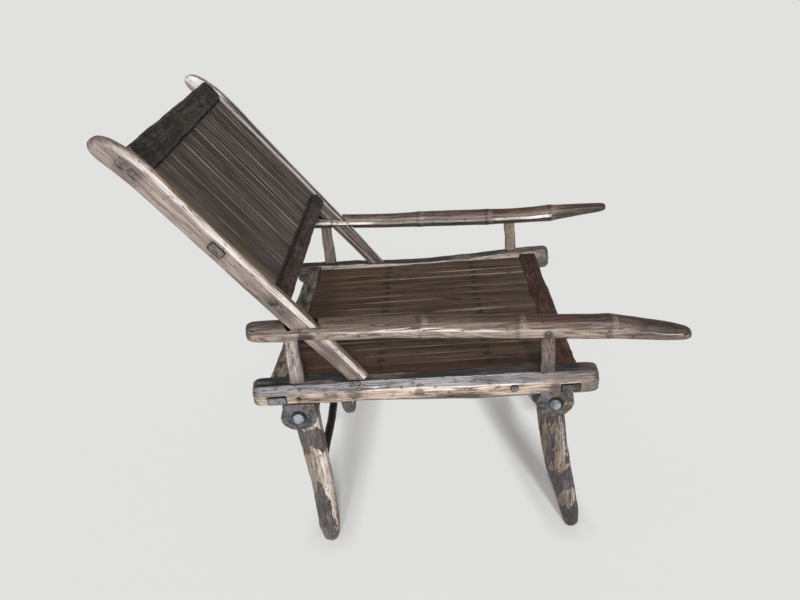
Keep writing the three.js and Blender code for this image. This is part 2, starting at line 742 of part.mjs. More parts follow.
// The two sides
for (const [side, sideName] of [[-1, 'right'], [1, 'left']]) {
  const posts = [['rear', rearPostX], ['front', frontPostX]];
  const axles = [['rear', rearAxleX], ['front', frontAxleX]];
  const postFits = posts.flatMap(([, x]) => postTenons(side, x, clearance));
  const hangerFits = axles.flatMap(([, x]) => [hangerTenon(side, x, clearance), hangerHousing(side, x, clearance)]);
  const seatFits = [seatTenon(rearBarX, clearance), seatTenon(frontBarX, clearance), crossRodTenon(clearance)];
  const railPin = stilePin(side, railPinPlace, railPinPole(), clearance);
  const armPin = stilePin(side, armPinPlace, armPinPole(), clearance);
  const postPins = posts.map(([, x]) => postPin(side, x, clearance));
  const backFits = [
    backTenon(topBarPlace, topBarWidth, clearance),
    backTenon(battenPlace, battenWidth, clearance),
    backTenon(lowBarPlace, lowBarWidth, clearance),
  ];
  const railCuts = [...postFits, ...hangerFits, ...seatFits, stileTongue(side, clearance), railPin];
  place(`seat_rail_${sideName}`, cut(railPole(side, 0), railCuts), finishes.rail);
  place(`arm_${sideName}`, cut(armPole(side, 0), [...postFits, stileSlot(side), armPin, ...postPins]), finishes.arm);
  place(`back_stile_${sideName}`, cut(stileTongue(side, 0), [...backFits, armPin, railPin]), finishes.stile);
  place(`stile_pin_arm_${sideName}`, stilePin(side, armPinPlace, armPinPole(), 0), finishes.pin);
  place(`stile_pin_rail_${sideName}`, stilePin(side, railPinPlace, railPinPole(), 0), finishes.pin);
  for (const [end, x] of posts) {
    const scribed = cut(postLath(side, x), [railPole(side, clearance), armPole(side, clearance)]);
    const post = cut(join([scribed, ...postTenons(side, x, 0)]), [postPin(side, x, clearance)]);
    place(`${end}_post_${sideName}`, post, finishes.post);
    place(`${end}_post_pin_${sideName}`, postPin(side, x, 0), finishes.pin);
  }
  for (const [end, x] of axles) {
    place(`${end}_hanger_${sideName}`, hanger(side, x), finishes.hanger);
    place(`${end}_hanger_cap_${sideName}`, hangerCap(side, x), finishes.hanger);
  }
  place(`rear_leg_${sideName}`, leg(side, rearLegs, rearHead()), finishes.leg);
  place(`front_leg_${sideName}`, leg(side, frontLegs, frontHead()), finishes.leg);
}

// What crosses from side to side
place('rear_axle', axle(rearAxleX), finishes.rod);
place('front_axle', axle(frontAxleX), finishes.rod);
place('rear_leg_stretcher', stretcher(rearLegs), finishes.rod);
place('front_leg_stretcher', stretcher(frontLegs), finishes.rod);
place('seat_bar_rear', seatBar(rearBarX), finishes.bar);
place('seat_bar_front', seatBar(frontBarX), finishes.bar);
place('seat_batten_rear', seatBatten(rearBattenX), finishes.bar);
place('seat_batten_front', seatBatten(frontBattenX), finishes.bar);
place('seat_cross_rod', crossRod(), finishes.rod);
for (let index = 0; index < seatSlatCount; index++) {
  place(`seat_slat_${String(index + 1).padStart(2, '0')}`, seatSlat(index), finishes.slat);
}
place('back_bar_top', backBar(topBarPlace, topBarWidth, topBarThickness, topBarFace), finishes.bar);
place('back_bar_low', backBar(lowBarPlace, lowBarWidth, lowBarThickness, lowBarFace), finishes.bar);
place('back_slat_panel', backSlatPanel(), finishes.slat);

// The origin is on the floor, in the middle of the chair's outline
chair.updateMatrixWorld(true);
const outline = new THREE.Box3().setFromObject(chair, true);
const middle = outline.getCenter(new THREE.Vector3());
chair.position.set(-middle.x, -middle.y, -outline.min.z);

export default chair;
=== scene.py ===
from math import cos, pi, radians, sin, sqrt, tau

import bpy
from mathutils import Euler, Matrix, Vector


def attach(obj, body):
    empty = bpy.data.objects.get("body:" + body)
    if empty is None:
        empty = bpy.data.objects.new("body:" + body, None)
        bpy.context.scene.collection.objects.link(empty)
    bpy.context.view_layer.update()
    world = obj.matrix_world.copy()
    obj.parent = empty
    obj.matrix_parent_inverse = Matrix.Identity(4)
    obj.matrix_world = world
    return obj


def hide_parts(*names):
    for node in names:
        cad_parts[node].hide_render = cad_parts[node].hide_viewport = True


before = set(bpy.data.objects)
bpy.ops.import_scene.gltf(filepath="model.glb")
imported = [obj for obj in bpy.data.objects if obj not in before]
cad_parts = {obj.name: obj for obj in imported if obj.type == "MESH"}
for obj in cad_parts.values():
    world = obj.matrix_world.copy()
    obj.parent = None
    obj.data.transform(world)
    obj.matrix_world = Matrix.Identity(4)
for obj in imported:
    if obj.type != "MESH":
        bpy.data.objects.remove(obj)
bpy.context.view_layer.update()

# The view is from the sitter's right and a little above the arms, with the camera
# leaned over by a few degrees, as it was held when the chair was photographed.
view_aim = Vector((-0.0313, 0.0222, 0.441))
view_turn, view_tilt, view_lean = radians(3.29), radians(25.12), radians(-5.0)
view_distance = 1.7302
towards_camera = Vector((
    sin(view_turn) * cos(view_tilt),
    -cos(view_turn) * cos(view_tilt),
    sin(view_tilt),
))
level_right = (-towards_camera).cross(Vector((0, 0, 1))).normalized()
level_up = level_right.cross(-towards_camera)
camera_right = cos(view_lean) * level_right + sin(view_lean) * level_up
camera_up = cos(view_lean) * level_up - sin(view_lean) * level_right
bpy.ops.object.camera_add()
camera = bpy.context.object
camera.name = "photo_camera"
camera.data.sensor_width = 36
camera.data.lens = 34.03
camera.data.clip_start = 0.05
camera.data.clip_end = 60
camera.matrix_world = Matrix.Translation(view_aim + towards_camera * view_distance) @ Matrix((
    camera_right, camera_up, towards_camera)).transposed().to_4x4()
bpy.context.scene.camera = camera
bpy.context.scene.view_settings.view_transform = "Standard"


# The studio is an even pale grey floor that runs out of sight and shows soft shadows
# only behind the legs. Two low lamps in front throw them, under an even sky, with a
# broad lamp overhead and one behind that lights the back of the chair.
class Tone:
    """A socket in a material. Arithmetic on it adds the nodes that work it out."""

    def __init__(self, tree, socket=None):
        self.tree = tree
        self.socket = socket

    def node(self, kind, settings, values, output=0):
        made = self.tree.nodes.new(kind)
        for name, value in settings.items():
            setattr(made, name, value)
        for name, value in values.items():
            if isinstance(value, Tone):
                self.tree.links.new(value.socket, made.inputs[name])
            else:
                made.inputs[name].default_value = value
        return Tone(self.tree, made.outputs[output])

    def math(self, operation, *values):
        return self.node("ShaderNodeMath", {"operation": operation}, dict(enumerate(values)))

    def __add__(self, other):
        return self.math("ADD", self, other)

    __radd__ = __add__

    def __sub__(self, other):
        return self.math("SUBTRACT", self, other)

    def __rsub__(self, other):
        return self.math("SUBTRACT", other, self)

    def __mul__(self, other):
        return self.math("MULTIPLY", self, other)

    __rmul__ = __mul__

    def __abs__(self):
        return self.math("ABSOLUTE", self)

    def axis(self, name):
        return self.node("ShaderNodeSeparateXYZ", {}, {"Vector": self}, name)

    def vector(self, operation, *others, output=0):
        values = dict(enumerate((self, *others)))
        return self.node("ShaderNodeVectorMath", {"operation": operation}, values, output)

    def dot(self, direction):
        return self.vector("DOT_PRODUCT", tuple(direction), output=1)

    def step(self, low, high):
        """0 below low, 1 above high, smooth in between; the other way round if low is the larger."""
        return self.node(
            "ShaderNodeMapRange", {"interpolation_type": "SMOOTHSTEP"},
            {"Value": self, "From Min": low, "From Max": high},
        )

    def paint(self, under, over):
        """The colour under, covered by the colour over as far as this mask says."""
        return self.node("ShaderNodeMix", {"data_type": "RGBA"}, {0: self, 6: under, 7: over}, 2)

    def shades(self, low, high, dark, light):
        """A dark colour where this is below low, a light one where it is above high."""
        return self.step(low, high).paint(colour(dark), colour(light))

    def cover(self, mask, over):
        """Covers this colour with another as far as a mask says."""
        self.socket = mask.paint(self, colour(over) if isinstance(over, str) else over).socket


def colour(code):
    """A colour written as the six digits of its screen value, made linear."""
    parts = [int(code[at:at + 2], 16) / 255 for at in (0, 2, 4)]
    linear = [part / 12.92 if part <= 0.04045 else ((part + 0.055) / 1.055) ** 2.4 for part in parts]
    return (*linear, 1)


floor_tone = colour("e1e1df")
bpy.ops.mesh.primitive_plane_add(size=120, location=(0, 0, 0))
floor = bpy.context.object
floor.name = "studio_floor"
floor_material = bpy.data.materials.new("studio_floor_paint")
floor_material.use_nodes = True
floor_paint = Tone(floor_material.node_tree)
floor_shader = floor_material.node_tree.nodes["Principled BSDF"]
floor_shader.inputs["Base Color"].default_value = colour("eeeeec")
floor_shader.inputs["Roughness"].default_value = 1.0
floor_shader.inputs["Specular IOR Level"].default_value = 0.0
lit_floor = Tone(floor_paint.tree, floor_shader.outputs["BSDF"])
even_floor = floor_paint.node("ShaderNodeEmission", {}, {"Color": floor_tone, "Strength": 1.0})
seen_by_camera = floor_paint.node("ShaderNodeLightPath", {}, {}, "Is Camera Ray")
spot = floor_paint.node("ShaderNodeTexCoord", {}, {}, "Object")
spot_x = spot.axis("X")
spot_y = spot.axis("Y")
from_chair = spot.vector("LENGTH", output=1)
even_share = 0.9 + from_chair.step(0.7, 1.6) * 0.08
for foot_x, slope in ((0.311, -0.225), (-0.212, 0.072)):
    for foot_y in (-0.25, 0.25):
        run = spot_y - foot_y
        beside = abs(spot_x - foot_x - run * slope).step(0.07, 0.03)
        leg_shadow = beside * run.step(-0.07, -0.02) * run.step(0.72, 0.5)
        even_share = even_share * (1 - leg_shadow)
floor_mix = floor_paint.node(
    "ShaderNodeMixShader", {}, {0: seen_by_camera * even_share, 1: lit_floor, 2: even_floor})
floor_surface = floor_paint.tree.nodes["Material Output"].inputs["Surface"]
floor_paint.tree.links.new(floor_mix.socket, floor_surface)
floor.data.materials.append(floor_material)

sky = bpy.data.worlds.new("studio_sky")
sky.use_nodes = True
sky_light = Tone(sky.node_tree)
sky_background = sky.node_tree.nodes["Background"]
sky_background.inputs["Color"].default_value = (1, 1, 1, 1)
sky_seen = sky_light.node("ShaderNodeLightPath", {}, {}, "Is Camera Ray")
sky_strength = 0.28 + sky_seen * (floor_tone[0] - 0.28)
sky.node_tree.links.new(sky_strength.socket, sky_background.inputs["Strength"])
bpy.context.scene.world = sky

for lamp_name, lamp_turn, lamp_tilt, lamp_power, lamp_spread in (
    ("lamp_right", 8.8, 27, 2.15, 6),
    ("lamp_left", -4.5, 29, 1.00, 6),
    ("lamp_overhead", -20, 68, 0.36, 40),
    ("lamp_behind", 176, 12, 0.75, 30),
):
    bpy.ops.object.light_add(
        type="SUN", rotation=Euler((radians(90 - lamp_tilt), 0, radians(lamp_turn))),
    )
    lamp = bpy.context.object
    lamp.name = lamp_name
    lamp.data.energy = lamp_power
    lamp.data.angle = radians(lamp_spread)
    lamp.visible_glossy = lamp_name != "lamp_behind"


# The seat rails are thick bamboo poles hewn to flats with a bush knife and bowed a little,
# with pale highlights painted along two of their arrises. Everything else is jointed into them.
both_sides = (("right", -1), ("left", 1))


def grow(name, corners, rings, edge_hold=0.6, end_hold=0.5):
    """Extrudes a closed profile through rings of (place, shift, half size) up the Z axis."""
    place, shift, half = rings[0]
    bpy.ops.mesh.primitive_circle_add(
        vertices=len(corners), radius=1.0, fill_type="NGON", location=(0, 0, 0))
    grown = bpy.context.object
    grown.name = name
    for point, corner in zip(grown.data.vertices, corners):
        point.co = (corner[0] * half[0] + shift[0], corner[1] * half[1] + shift[1], place)
    bpy.ops.object.mode_set(mode="EDIT")
    bpy.ops.mesh.select_all(action="SELECT")
    for next_place, next_shift, next_half in rings[1:]:
        bpy.ops.mesh.extrude_region_move(TRANSFORM_OT_translate={"value": (
            next_shift[0] - shift[0], next_shift[1] - shift[1], next_place - place)})
        bpy.ops.transform.resize(
            value=(next_half[0] / half[0], next_half[1] / half[1], 1),
            center_override=(next_shift[0], next_shift[1], next_place),
        )
        place, shift, half = next_place, next_shift, next_half
    bpy.ops.object.mode_set(mode="OBJECT")
    low, high = rings[0][0], rings[-1][0]
    creases = grown.data.attributes.new("crease_edge", "FLOAT", "EDGE")
    for edge, crease in zip(grown.data.edges, creases.data):
        first, second = (grown.data.vertices[index].co for index in edge.vertices)
        if abs(first.z - second.z) > 1e-6:
            crease.value = edge_hold
        elif min(abs(first.z - low), abs(first.z - high)) < 1e-6:
            crease.value = end_hold
    bpy.ops.object.mode_set(mode="EDIT")
    bpy.ops.mesh.select_all(action="SELECT")
    bpy.ops.mesh.normals_make_consistent(inside=False)
    bpy.ops.object.mode_set(mode="OBJECT")
    bpy.ops.object.shade_smooth()
    return grown


def lay(piece, x_axis, y_axis, origin=(0, 0, 0)):
    """Turns a piece from its own axes to where it lies on the chair and fixes it there."""
    across, upward = Vector(x_axis), Vector(y_axis)
    turned = Matrix((across, upward, across.cross(upward))).transposed().to_4x4()
    choose(piece)
    piece.matrix_world = Matrix.Translation(origin) @ turned
    bpy.ops.object.transform_apply(location=True, rotation=True, scale=True)


def choose(piece):
    bpy.ops.object.select_all(action="DESELECT")
    piece.select_set(True)
    bpy.context.view_layer.objects.active = piece


def reshape(piece, kind, **values):
    """Runs one modifier on a piece and keeps the result."""
    choose(piece)
    modifier = piece.modifiers.new(kind.lower(), kind)
    for name, value in values.items():
        setattr(modifier, name, value)
    bpy.ops.object.modifier_apply(modifier=modifier.name)


def refine(piece, levels):
    """Rounds a piece off with a subdivision surface."""
    reshape(piece, "SUBSURF", levels=levels, render_levels=levels)


def roughen(piece, size, depth, stretch=(1, 1, 1), turn=(0, 0, 0), detail=2):
    """Presses a cloudy pattern into a piece, drawn out along the grain."""
    texture = bpy.data.textures.new("wood_relief", "CLOUDS")
    texture.noise_scale = size
    texture.noise_depth = detail
    grain = bpy.data.objects.new("grain_direction", None)
    grain.scale = stretch
    grain.rotation_euler = turn
    bpy.context.scene.collection.objects.link(grain)
    bpy.context.view_layer.update()
    reshape(
        piece, "DISPLACE", texture=texture, texture_coords="OBJECT", texture_coords_object=grain,
        strength=depth, mid_level=0.5)
    bpy.data.objects.remove(grain)


def other_hand(corners, outward, flip=(-1, 1)):
    """The profile as it is on the sitter's right, or mirrored for the left."""
    if outward < 0:
        return corners
    return [(corner[0] * flip[0], corner[1] * flip[1]) for corner in reversed(corners)]


def fit(piece, material, body, node=""):
    """Gives a piece its finish and fixes it to the chair, in place of any plain solid."""
    piece.data.materials.clear()
    piece.data.materials.append(material)
    piece.data.name = piece.name
    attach(piece, body)
    if node:
        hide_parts(node)


def start_material(name):
    """A new material, and the place on the piece as a tone to build on."""
    material = bpy.data.materials.new(name)
    material.use_nodes = True
    return material, Tone(material.node_tree).node("ShaderNodeTexCoord", {}, {}, "Object")


def noise(place, scale, drawn=(1, 1, 1), turn=(0, 0, 0), detail=3, roughness=0.6, distortion=0):
    """A noise from 0 to 1 drawn out along the grain."""
    laid = place.node("ShaderNodeMapping", {}, {"Vector": place, "Rotation": turn})
    return place.node("ShaderNodeTexNoise", {}, {
        "Vector": laid.vector("MULTIPLY", drawn), "Scale": scale, "Detail": detail,
        "Roughness": roughness, "Distortion": distortion,
    })


def along(place, direction):
    """How far the surface faces a direction, from -1 to 1."""
    return place.node("ShaderNodeTexCoord", {}, {}, "Normal").dot(direction)


def finish_surface(base, rough, height, depth, shine=0.5):
    """Puts the worked-out colour, roughness and grain relief into the shader, which it returns."""
    shader = base.tree.nodes["Principled BSDF"]
    bump = base.node("ShaderNodeBump", {}, {"Height": height, "Distance": depth, "Strength": 0.8})
    for tone, name in ((base, "Base Color"), (rough, "Roughness"), (bump, "Normal")):
        if isinstance(tone, Tone):
            base.tree.links.new(tone.socket, shader.inputs[name])
        else:
            shader.inputs[name].default_value = tone
    shader.inputs["Specular IOR Level"].default_value = shine
    return shader


def near(place, point, reach):
    """1 at a point, fading to 0 at its reach, which is given for each axis."""
    away = place.vector("SUBTRACT", tuple(point)).vector("DIVIDE", reach)
    return away.vector("LENGTH", output=1).step(1.0, 0.45)


def band(run, centre, half):
    """1 at a place along a piece, fading to 0 at half its width."""
    return abs(run - centre).step(half, half * 0.35)


def old_cane(place, tones, drawn, turn=(0, 0, 0), fineness=1.0, threads=1.0, cracks=1.0):
    """Weathered cane: two browns in long fibres, with pale worn threads and black cracks."""
    dark, light, thread_tone, crack_tone = tones
    softly_drawn = tuple(part ** 0.42 for part in drawn)
    fibre = noise(place, 200 * fineness, drawn, turn, detail=6, roughness=0.74)
    blotch = noise(place, 20 * fineness, softly_drawn, turn, detail=5, roughness=0.66)
    thread = noise(place, 340 * fineness, drawn, turn)
    base = (blotch * 0.45 + fibre * 0.55).shades(0.41, 0.59, dark, light)
    base.cover(thread.step(0.55, 0.66) * blotch.step(0.38, 0.6) * threads, thread_tone)
    base.cover(thread.step(0.44, 0.35) * cracks, crack_tone)
    return base, fibre, blotch, thread


def turns(shares):
    """Corners of a profile on the unit circle, given as shares of a turn."""
    return [(-cos(share * tau), sin(share * tau)) for share in shares]


def hewn(shares):
    """A profile of flats between corners on the unit circle."""
    corners = turns(shares)
    profile = []
    for first, second in zip(corners, corners[1:] + corners[:1]):
        profile += [first, ((first[0] + second[0]) * 0.507, (first[1] + second[1]) * 0.507)]
    return profile


rail_corners = hewn((0.026, 0.135, 0.28, 0.4, 0.52, 0.64, 0.76, 0.885))
rail_half_spacing = 0.302
rail_height = 0.411
rail_radius = 0.0288
rail_bow = 0.0045
rail_rear, rail_front = -0.3084, 0.3464
rail_shape = (
    (0, 0.7), (0.006, 0.86), (0.014, 0.95), (0.035, 0.98), (0.12, 0.965), (0.2, 0.97), (0.235, 1.05),
    (0.27, 0.96), (0.37, 0.915), (0.48, 0.93), (0.56, 0.95), (0.63, 1), (0.66, 1.04), (0.7, 1),
    (0.8, 1.015), (0.9, 1.045), (0.965, 1.035), (0.986, 0.99), (0.994, 0.92), (1, 0.78),
)
left_rail_drop = (
    (0, 0.0044), (0.126, 0.0054), (0.33, 0.0084), (0.44, 0.0091), (0.6, 0.0083), (0.7, 0.0054),
    (0.8, 0.0014), (1, -0.0032),
)


def read_off(table, share):
    """A value read off a table of (place, value) by straight lines."""
    for (low, low_value), (high, high_value) in zip(table, table[1:]):
        if share <= high:
            return low_value + (high_value - low_value) * (share - low) / (high - low)
    return table[-1][1]


def rail_middle(x, outward):
    """The middle of a rail at a place along it. The left rail hangs lower and bows inward."""
    share = (x - rail_rear) / (rail_front - rail_rear)
    drop = read_off(left_rail_drop, share) if outward > 0 else 0
    bow = rail_bow * cos(share * 0.62 * tau) + 0.0014 * sin(share * pi)
    return Vector((x, outward * (rail_half_spacing - 0.7 * max(0, drop)), rail_height + bow - drop))


def facet_turn(x, outward):
    """How far the hewn flats have wound up round the rail at a place along it."""
    risen = min(max((x + 0.16) / 0.12, 0), 1)
    fallen = min(max((x - 0.19) / 0.08, 0), 1)
    return radians(16 + 6 * risen - 3 * fallen if outward > 0 else 13 * risen - 9 * fallen)


def flat_facing(outward, x, angle):
    """Which way a flat of a rail faces, from its angle above level on an unwound rail."""
    lifted = radians(angle) + facet_turn(x, outward)
    return Vector((0, outward * cos(lifted), sin(lifted)))


rail_flat = 0.0272
inner_top_flat, top_flat, upper_flat, lower_flat = 122, 66, 29, -18
for side, outward, thinning in (("right", -1, 0.0), ("left", 1, 0.0032)):
    rail_rings = []
    for share, swell in rail_shape:
        x = rail_rear + share * (rail_front - rail_rear)
        middle = rail_middle(x, outward)
        wander = 0.0015 * sin(share * 9.0)
        slimmer = thinning * max(0, 1 - share * 1.25)
        rail_rings.append((
            x, (middle.y - outward * (rail_half_spacing + wander), middle.z - slimmer),
            (rail_radius * swell, rail_radius * swell - slimmer * 0.6),
        ))
    rail = grow(f"seat_rail_{side}_pole", other_hand(rail_corners, outward), rail_rings)
    for x, centre, half in rail_rings:
        middle = Vector((*centre, x))
        winding = Matrix.Rotation(outward * facet_turn(x, outward), 3, "Z")
        for point in rail.data.vertices:
            if abs(point.co.z - x) < 1e-6:
                point.co = middle + winding @ (point.co - middle)
    lay(rail, (0, 1, 0), (0, 0, 1), (0, outward * rail_half_spacing, 0))
    refine(rail, 3)
    roughen(rail, 0.022, 0.0034, (3.2, 1, 1))
    roughen(rail, 0.0045, 0.0013, (7, 1, 1), detail=3)
    material, place = start_material(f"seat_rail_{side}_bamboo")
    base, fibre, blotch, thread = old_cane(
        place, ("463c36", "7c6c62", "a99a8e", "201a18"), (0.05, 1, 1), fineness=1.1)
    run = place.axis("X")
    rear_part = run.step(-0.06, -0.13)
    front_part = run.step(0.19, 0.26)
    mid_part = (1 - rear_part) * (1 - front_part)
    top = along(place, flat_facing(outward, 0, top_flat)).step(0.8, 0.94)
    top_wood = thread.shades(0.36, 0.6, "111214", "343438")
    base.cover(top * (0.35 + rear_part * 0.6 + blotch.step(0.62, 0.42) * 0.5), top_wood)
    upper = along(place, flat_facing(outward, 0, upper_flat)).step(0.88, 0.97)
    blue_grey = thread.shades(0.36, 0.58, "3e3b3d", "838184")
    base.cover(upper * fibre.step(0.3, 0.52) * (1 - front_part * 0.6), blue_grey)
    lower = along(place, flat_facing(outward, 0, lower_flat)).step(0.88, 0.97)
    pink_tan = thread.shades(0.38, 0.58, "806e63", "ccb7a7")
    base.cover(lower * blotch.step(0.36, 0.52) * (1 - front_part * 0.5), pink_tan)
    inner = along(place, (0, -outward * 0.94, -0.34)).step(0.45, 0.85)
    base.cover(inner * 0.8, fibre.shades(0.38, 0.6, "2c2420", "65564d"))
    inner_top = along(place, flat_facing(outward, 0, inner_top_flat)).step(0.88, 0.97)
    cream = thread.shades(0.36, 0.56, "6f655e", "b3a9a1")
    base.cover(inner_top * fibre.step(0.34, 0.5) * (1 - front_part * 0.8) * 0.85, cream)
    # Painted highlights: patches of glare on the upper flat, and pale lines along two arrises.
    glare = noise(place, 13, (0.3, 1, 1))
    shine = upper * mid_part * glare.step(0.48, 0.58) * fibre.step(0.38, 0.54)
    base.cover(shine * 0.4, "bfbcbd")
    arris_highlight_break = noise(place, 30, (0.25, 1, 1))
    above_middle = place.axis("Z") + (run - rail_rear) * 0.0137 - 0.4155
    for turn_up, strength in ((1.5, 1), (48, 0.5)):
        arris_highlight = along(place, flat_facing(outward, 0, turn_up)).step(0.97, 0.992)
        arris_highlight = arris_highlight * arris_highlight_break.step(0.36, 0.46) * (1 - front_part * 0.55 - rear_part * 0.75)
        arris_highlight = arris_highlight * above_middle.step(0.001, 0.006)
        base.cover(arris_highlight * strength, mid_part.paint(colour("c4a994"), colour("ece3dc")))
    ends = run.step(-0.292, -0.308) + run.step(0.296, 0.326)
    base.cover(ends * 0.72, thread.shades(0.38, 0.58, "393330", "6b615b"))
    for dark_spot_x, reach in (
        (-0.1136, 0.02), (-0.152, 0.01), (-0.215, 0.01), (0.01, 0.014), (0.265, 0.016),
    ):
        spot = (dark_spot_x, outward * 0.33, rail_middle(dark_spot_x, outward).z - 0.002)
        dirt = near(place, spot, (reach, 0.03, 0.014))
        base.cover(dirt * blotch.step(0.35, 0.6) * 0.8, "3d3634")
    speck = noise(place, 150, (0.4, 1, 1))
    base.cover(speck.step(0.58, 0.68) * 0.8, "2b2523")
    relief = fibre + speck * 0.5 + thread * 0.5
    finish_surface(base, 0.5 - 0.18 * fibre, relief, 0.0014, shine=0.35)
    fit(rail, material, "frame", f"seat_rail_{side}")


# The arms are whole bamboo poles polished by hands: each has raised rings where the
# joints of the cane were, spreads outward and tapers to a grip in front. A pale highlight
# is painted along each arm, with painted light and shade on the side below it.
arm_corners = turns((
    0.018, 0.075, 0.13, 0.19, 0.26, 0.33, 0.4, 0.47, 0.54, 0.61, 0.68, 0.75, 0.82, 0.89, 0.955))
arm_rear, arm_front = -0.3046, 0.5014
arm_height, arm_radius = 0.542, 0.0228
arm_shape = (
    (0, 0.62, 0.62), (0.003, 0.74, 0.74), (0.01, 0.86, 0.87), (0.03, 0.92, 0.95), (0.08, 0.93, 0.96),
    (0.122, 0.93, 0.96), (0.133, 0.985, 1), (0.144, 0.93, 0.96), (0.27, 0.94, 0.96),
    (0.392, 0.95, 0.97), (0.404, 1, 1.02), (0.416, 0.955, 0.975), (0.52, 0.97, 0.99),
    (0.61, 0.98, 1), (0.623, 1.04, 1.05), (0.636, 0.985, 1), (0.74, 1, 1),
    (0.812, 1, 0.99), (0.824, 1.05, 1.02), (0.838, 0.97, 0.97), (0.87, 0.94, 0.95),
    (0.92, 0.84, 0.88), (0.965, 0.7, 0.77), (0.99, 0.57, 0.63), (0.997, 0.46, 0.53), (1, 0.36, 0.42),
)
arm_lines = {
    "right": {
        "spacing": ((0, 0.291), (1, 0.334)),
        "fall": (
            (0, 0.0006), (0.36, 0.001), (0.675, 0.0106), (0.83, 0.015), (0.917, 0.0241), (1, 0.034)),
        "girth": ((0, 1), (1, 1)),
    },
    "left": {
        "spacing": ((0, 0.295), (1, 0.328)),
        "fall": (
            (0, -0.01), (0.133, -0.0045), (0.22, 0.002), (0.31, 0.0078), (0.404, 0.009),
            (0.61, 0.0182), (0.623, 0.0178), (0.74, 0.0226), (0.824, 0.0206), (0.87, 0.0192),
            (0.92, 0.0178), (1, 0.016)),
        "girth": (
            (0, 0.82), (0.3, 0.82), (0.392, 0.86), (0.404, 0.92), (0.416, 0.9), (0.61, 0.9),
            (0.623, 0.92), (0.636, 0.87), (0.74, 0.86), (0.812, 0.91), (0.824, 0.95), (0.838, 0.88),
            (0.92, 0.8), (1, 0.86)),
    },
}


def arm_axis(x, side):
    """An arm's distance from the middle of the chair and its height, at a place along it."""
    share = (x - arm_rear) / (arm_front - arm_rear)
    line = arm_lines[side]
    return read_off(line["spacing"], share), arm_height - read_off(line["fall"], share)


arm_slot_x = -0.1901
for side, outward, shortened, highlight_up, highlight_share, highlight_tone, grip_highlight_cut, low_side_shade_tones in (
    ("right", -1, 0.0, 0.12, 0.65, "dcd4ce", 0.0, ("6a5a50", "a89689")),
    ("left", 1, 0.0045, -0.04, 0.95, "f0eae6", 1, ("2f2927", "584e4a")),
):
    arm_length = arm_front - shortened - arm_rear
    arm_rings = []
    for share, tall, wide in arm_shape:
        x = arm_rear + share * arm_length
        spacing, height = arm_axis(x, side)
        girth = arm_radius * read_off(arm_lines[side]["girth"], share)
        arm_rings.append((x, (outward * spacing, height), (girth * wide, girth * tall)))
    arm = grow(f"arm_{side}_pole", other_hand(arm_corners, outward), arm_rings, edge_hold=0.42)
    lay(arm, (0, 1, 0), (0, 0, 1))
    refine(arm, 3)
    roughen(arm, 0.03, 0.0024, (3.5, 1, 1))
    roughen(arm, 0.0035, 0.0006, (9, 1, 1), detail=3)
    material, place = start_material(f"arm_{side}_bamboo")
    base, fibre, blotch, thread = old_cane(
        place, ("3d322b", "65544b", "817067", "231b18"), (0.025, 1, 1),
        fineness=1.35, threads=0.4, cracks=0.5)
    run = place.axis("X")
    red = run.step(0.13, 0.22) * run.step(0.36, 0.29) * blotch.step(0.33, 0.48) * 0.85
    base.cover(red, fibre.shades(0.35, 0.6, "281813", "573a2e"))
    grip = run.step(0.35, 0.42) * blotch.step(0.62, 0.44)
    base.cover(grip * 0.9, fibre.shades(0.4, 0.6, "2a2320", "4a403b"))
    grey_end = run.step(-0.2, -0.28) * blotch.step(0.35, 0.55) * 0.8
    base.cover(grey_end, fibre.shades(0.4, 0.6, "322f2e", "68615d"))
    # Painted light and shade: the face turned to the front is painted lighter, and the low side below
    # it is painted tan on the right arm and dark on the left.
    painted_lit_side = along(place, (0, -0.94, 0.34)).step(0.8, 0.95)
    base.cover(painted_lit_side * fibre.step(0.4, 0.6) * (1 - grip) * 0.35, "8f7d71")
    low_side = along(place, (0, -0.93, -0.36)).step(0.86, 0.97)
    low_side_light_shade = thread.shades(0.38, 0.56, *low_side_shade_tones)
    base.cover(low_side * fibre.step(0.3, 0.5) * (1 - run.step(0.33, 0.42) * 0.6), low_side_light_shade)
    # Painted highlight: a pale line along the outer curve that faces the front lamps, broken up by
    # noise and stopped on the far arm's grip.
    shoulder_highlight = along(place, (0, -sqrt(1 - highlight_up ** 2), highlight_up)).step(0.984, 0.9975)
    highlight_break = noise(place, 24, (0.12, 1, 1), detail=4)
    highlight_colour = highlight_break.shades(0.36, 0.52, "958880", highlight_tone)
    glint = noise(place, 8, (0.5, 1, 1), detail=2).step(0.4, 0.56)
    held = (0.25 + glint * highlight_share) * (1 - red * 0.35) * (1 - run.step(0.35, 0.366) * grip_highlight_cut)
    base.cover(shoulder_highlight * held, highlight_colour)
    for ring_share in (0.133, 0.404, 0.623, 0.824):
        ring_x = arm_rear + ring_share * arm_length
        scar = band(run + (blotch - 0.5) * 0.02, ring_x - 0.003, 0.006) * blotch.step(0.34, 0.56)
        base.cover(scar * 0.55, "2c2523")
        base.cover(band(run, ring_x + 0.008, 0.008) * fibre.step(0.4, 0.6) * 0.45, "9c8e84")
    # Painted shade below the arm round the stile slot and by the front post pin.
    for dark_spot_x, reach in ((arm_slot_x, 0.02), (0.249, 0.012)):
        spacing, height = arm_axis(dark_spot_x, side)
        spot = (dark_spot_x, outward * (spacing + arm_radius), height - 0.006)
        joint_shade = near(place, spot, (reach, 0.03, 0.016))
        base.cover(joint_shade * blotch.step(0.3, 0.55) * 0.85, "2e2725")
    speck = noise(place, 140, (0.5, 1, 1))
    base.cover(speck.step(0.59, 0.69) * 0.8, "241e1c")
    shader = finish_surface(base, 0.46 - 0.15 * fibre, fibre + speck * 0.4, 0.0009, shine=0.22)
    shader.inputs["Coat Weight"].default_value = 0.04
    shader.inputs["Coat Roughness"].default_value = 0.28
    fit(arm, material, "frame", f"arm_{side}")


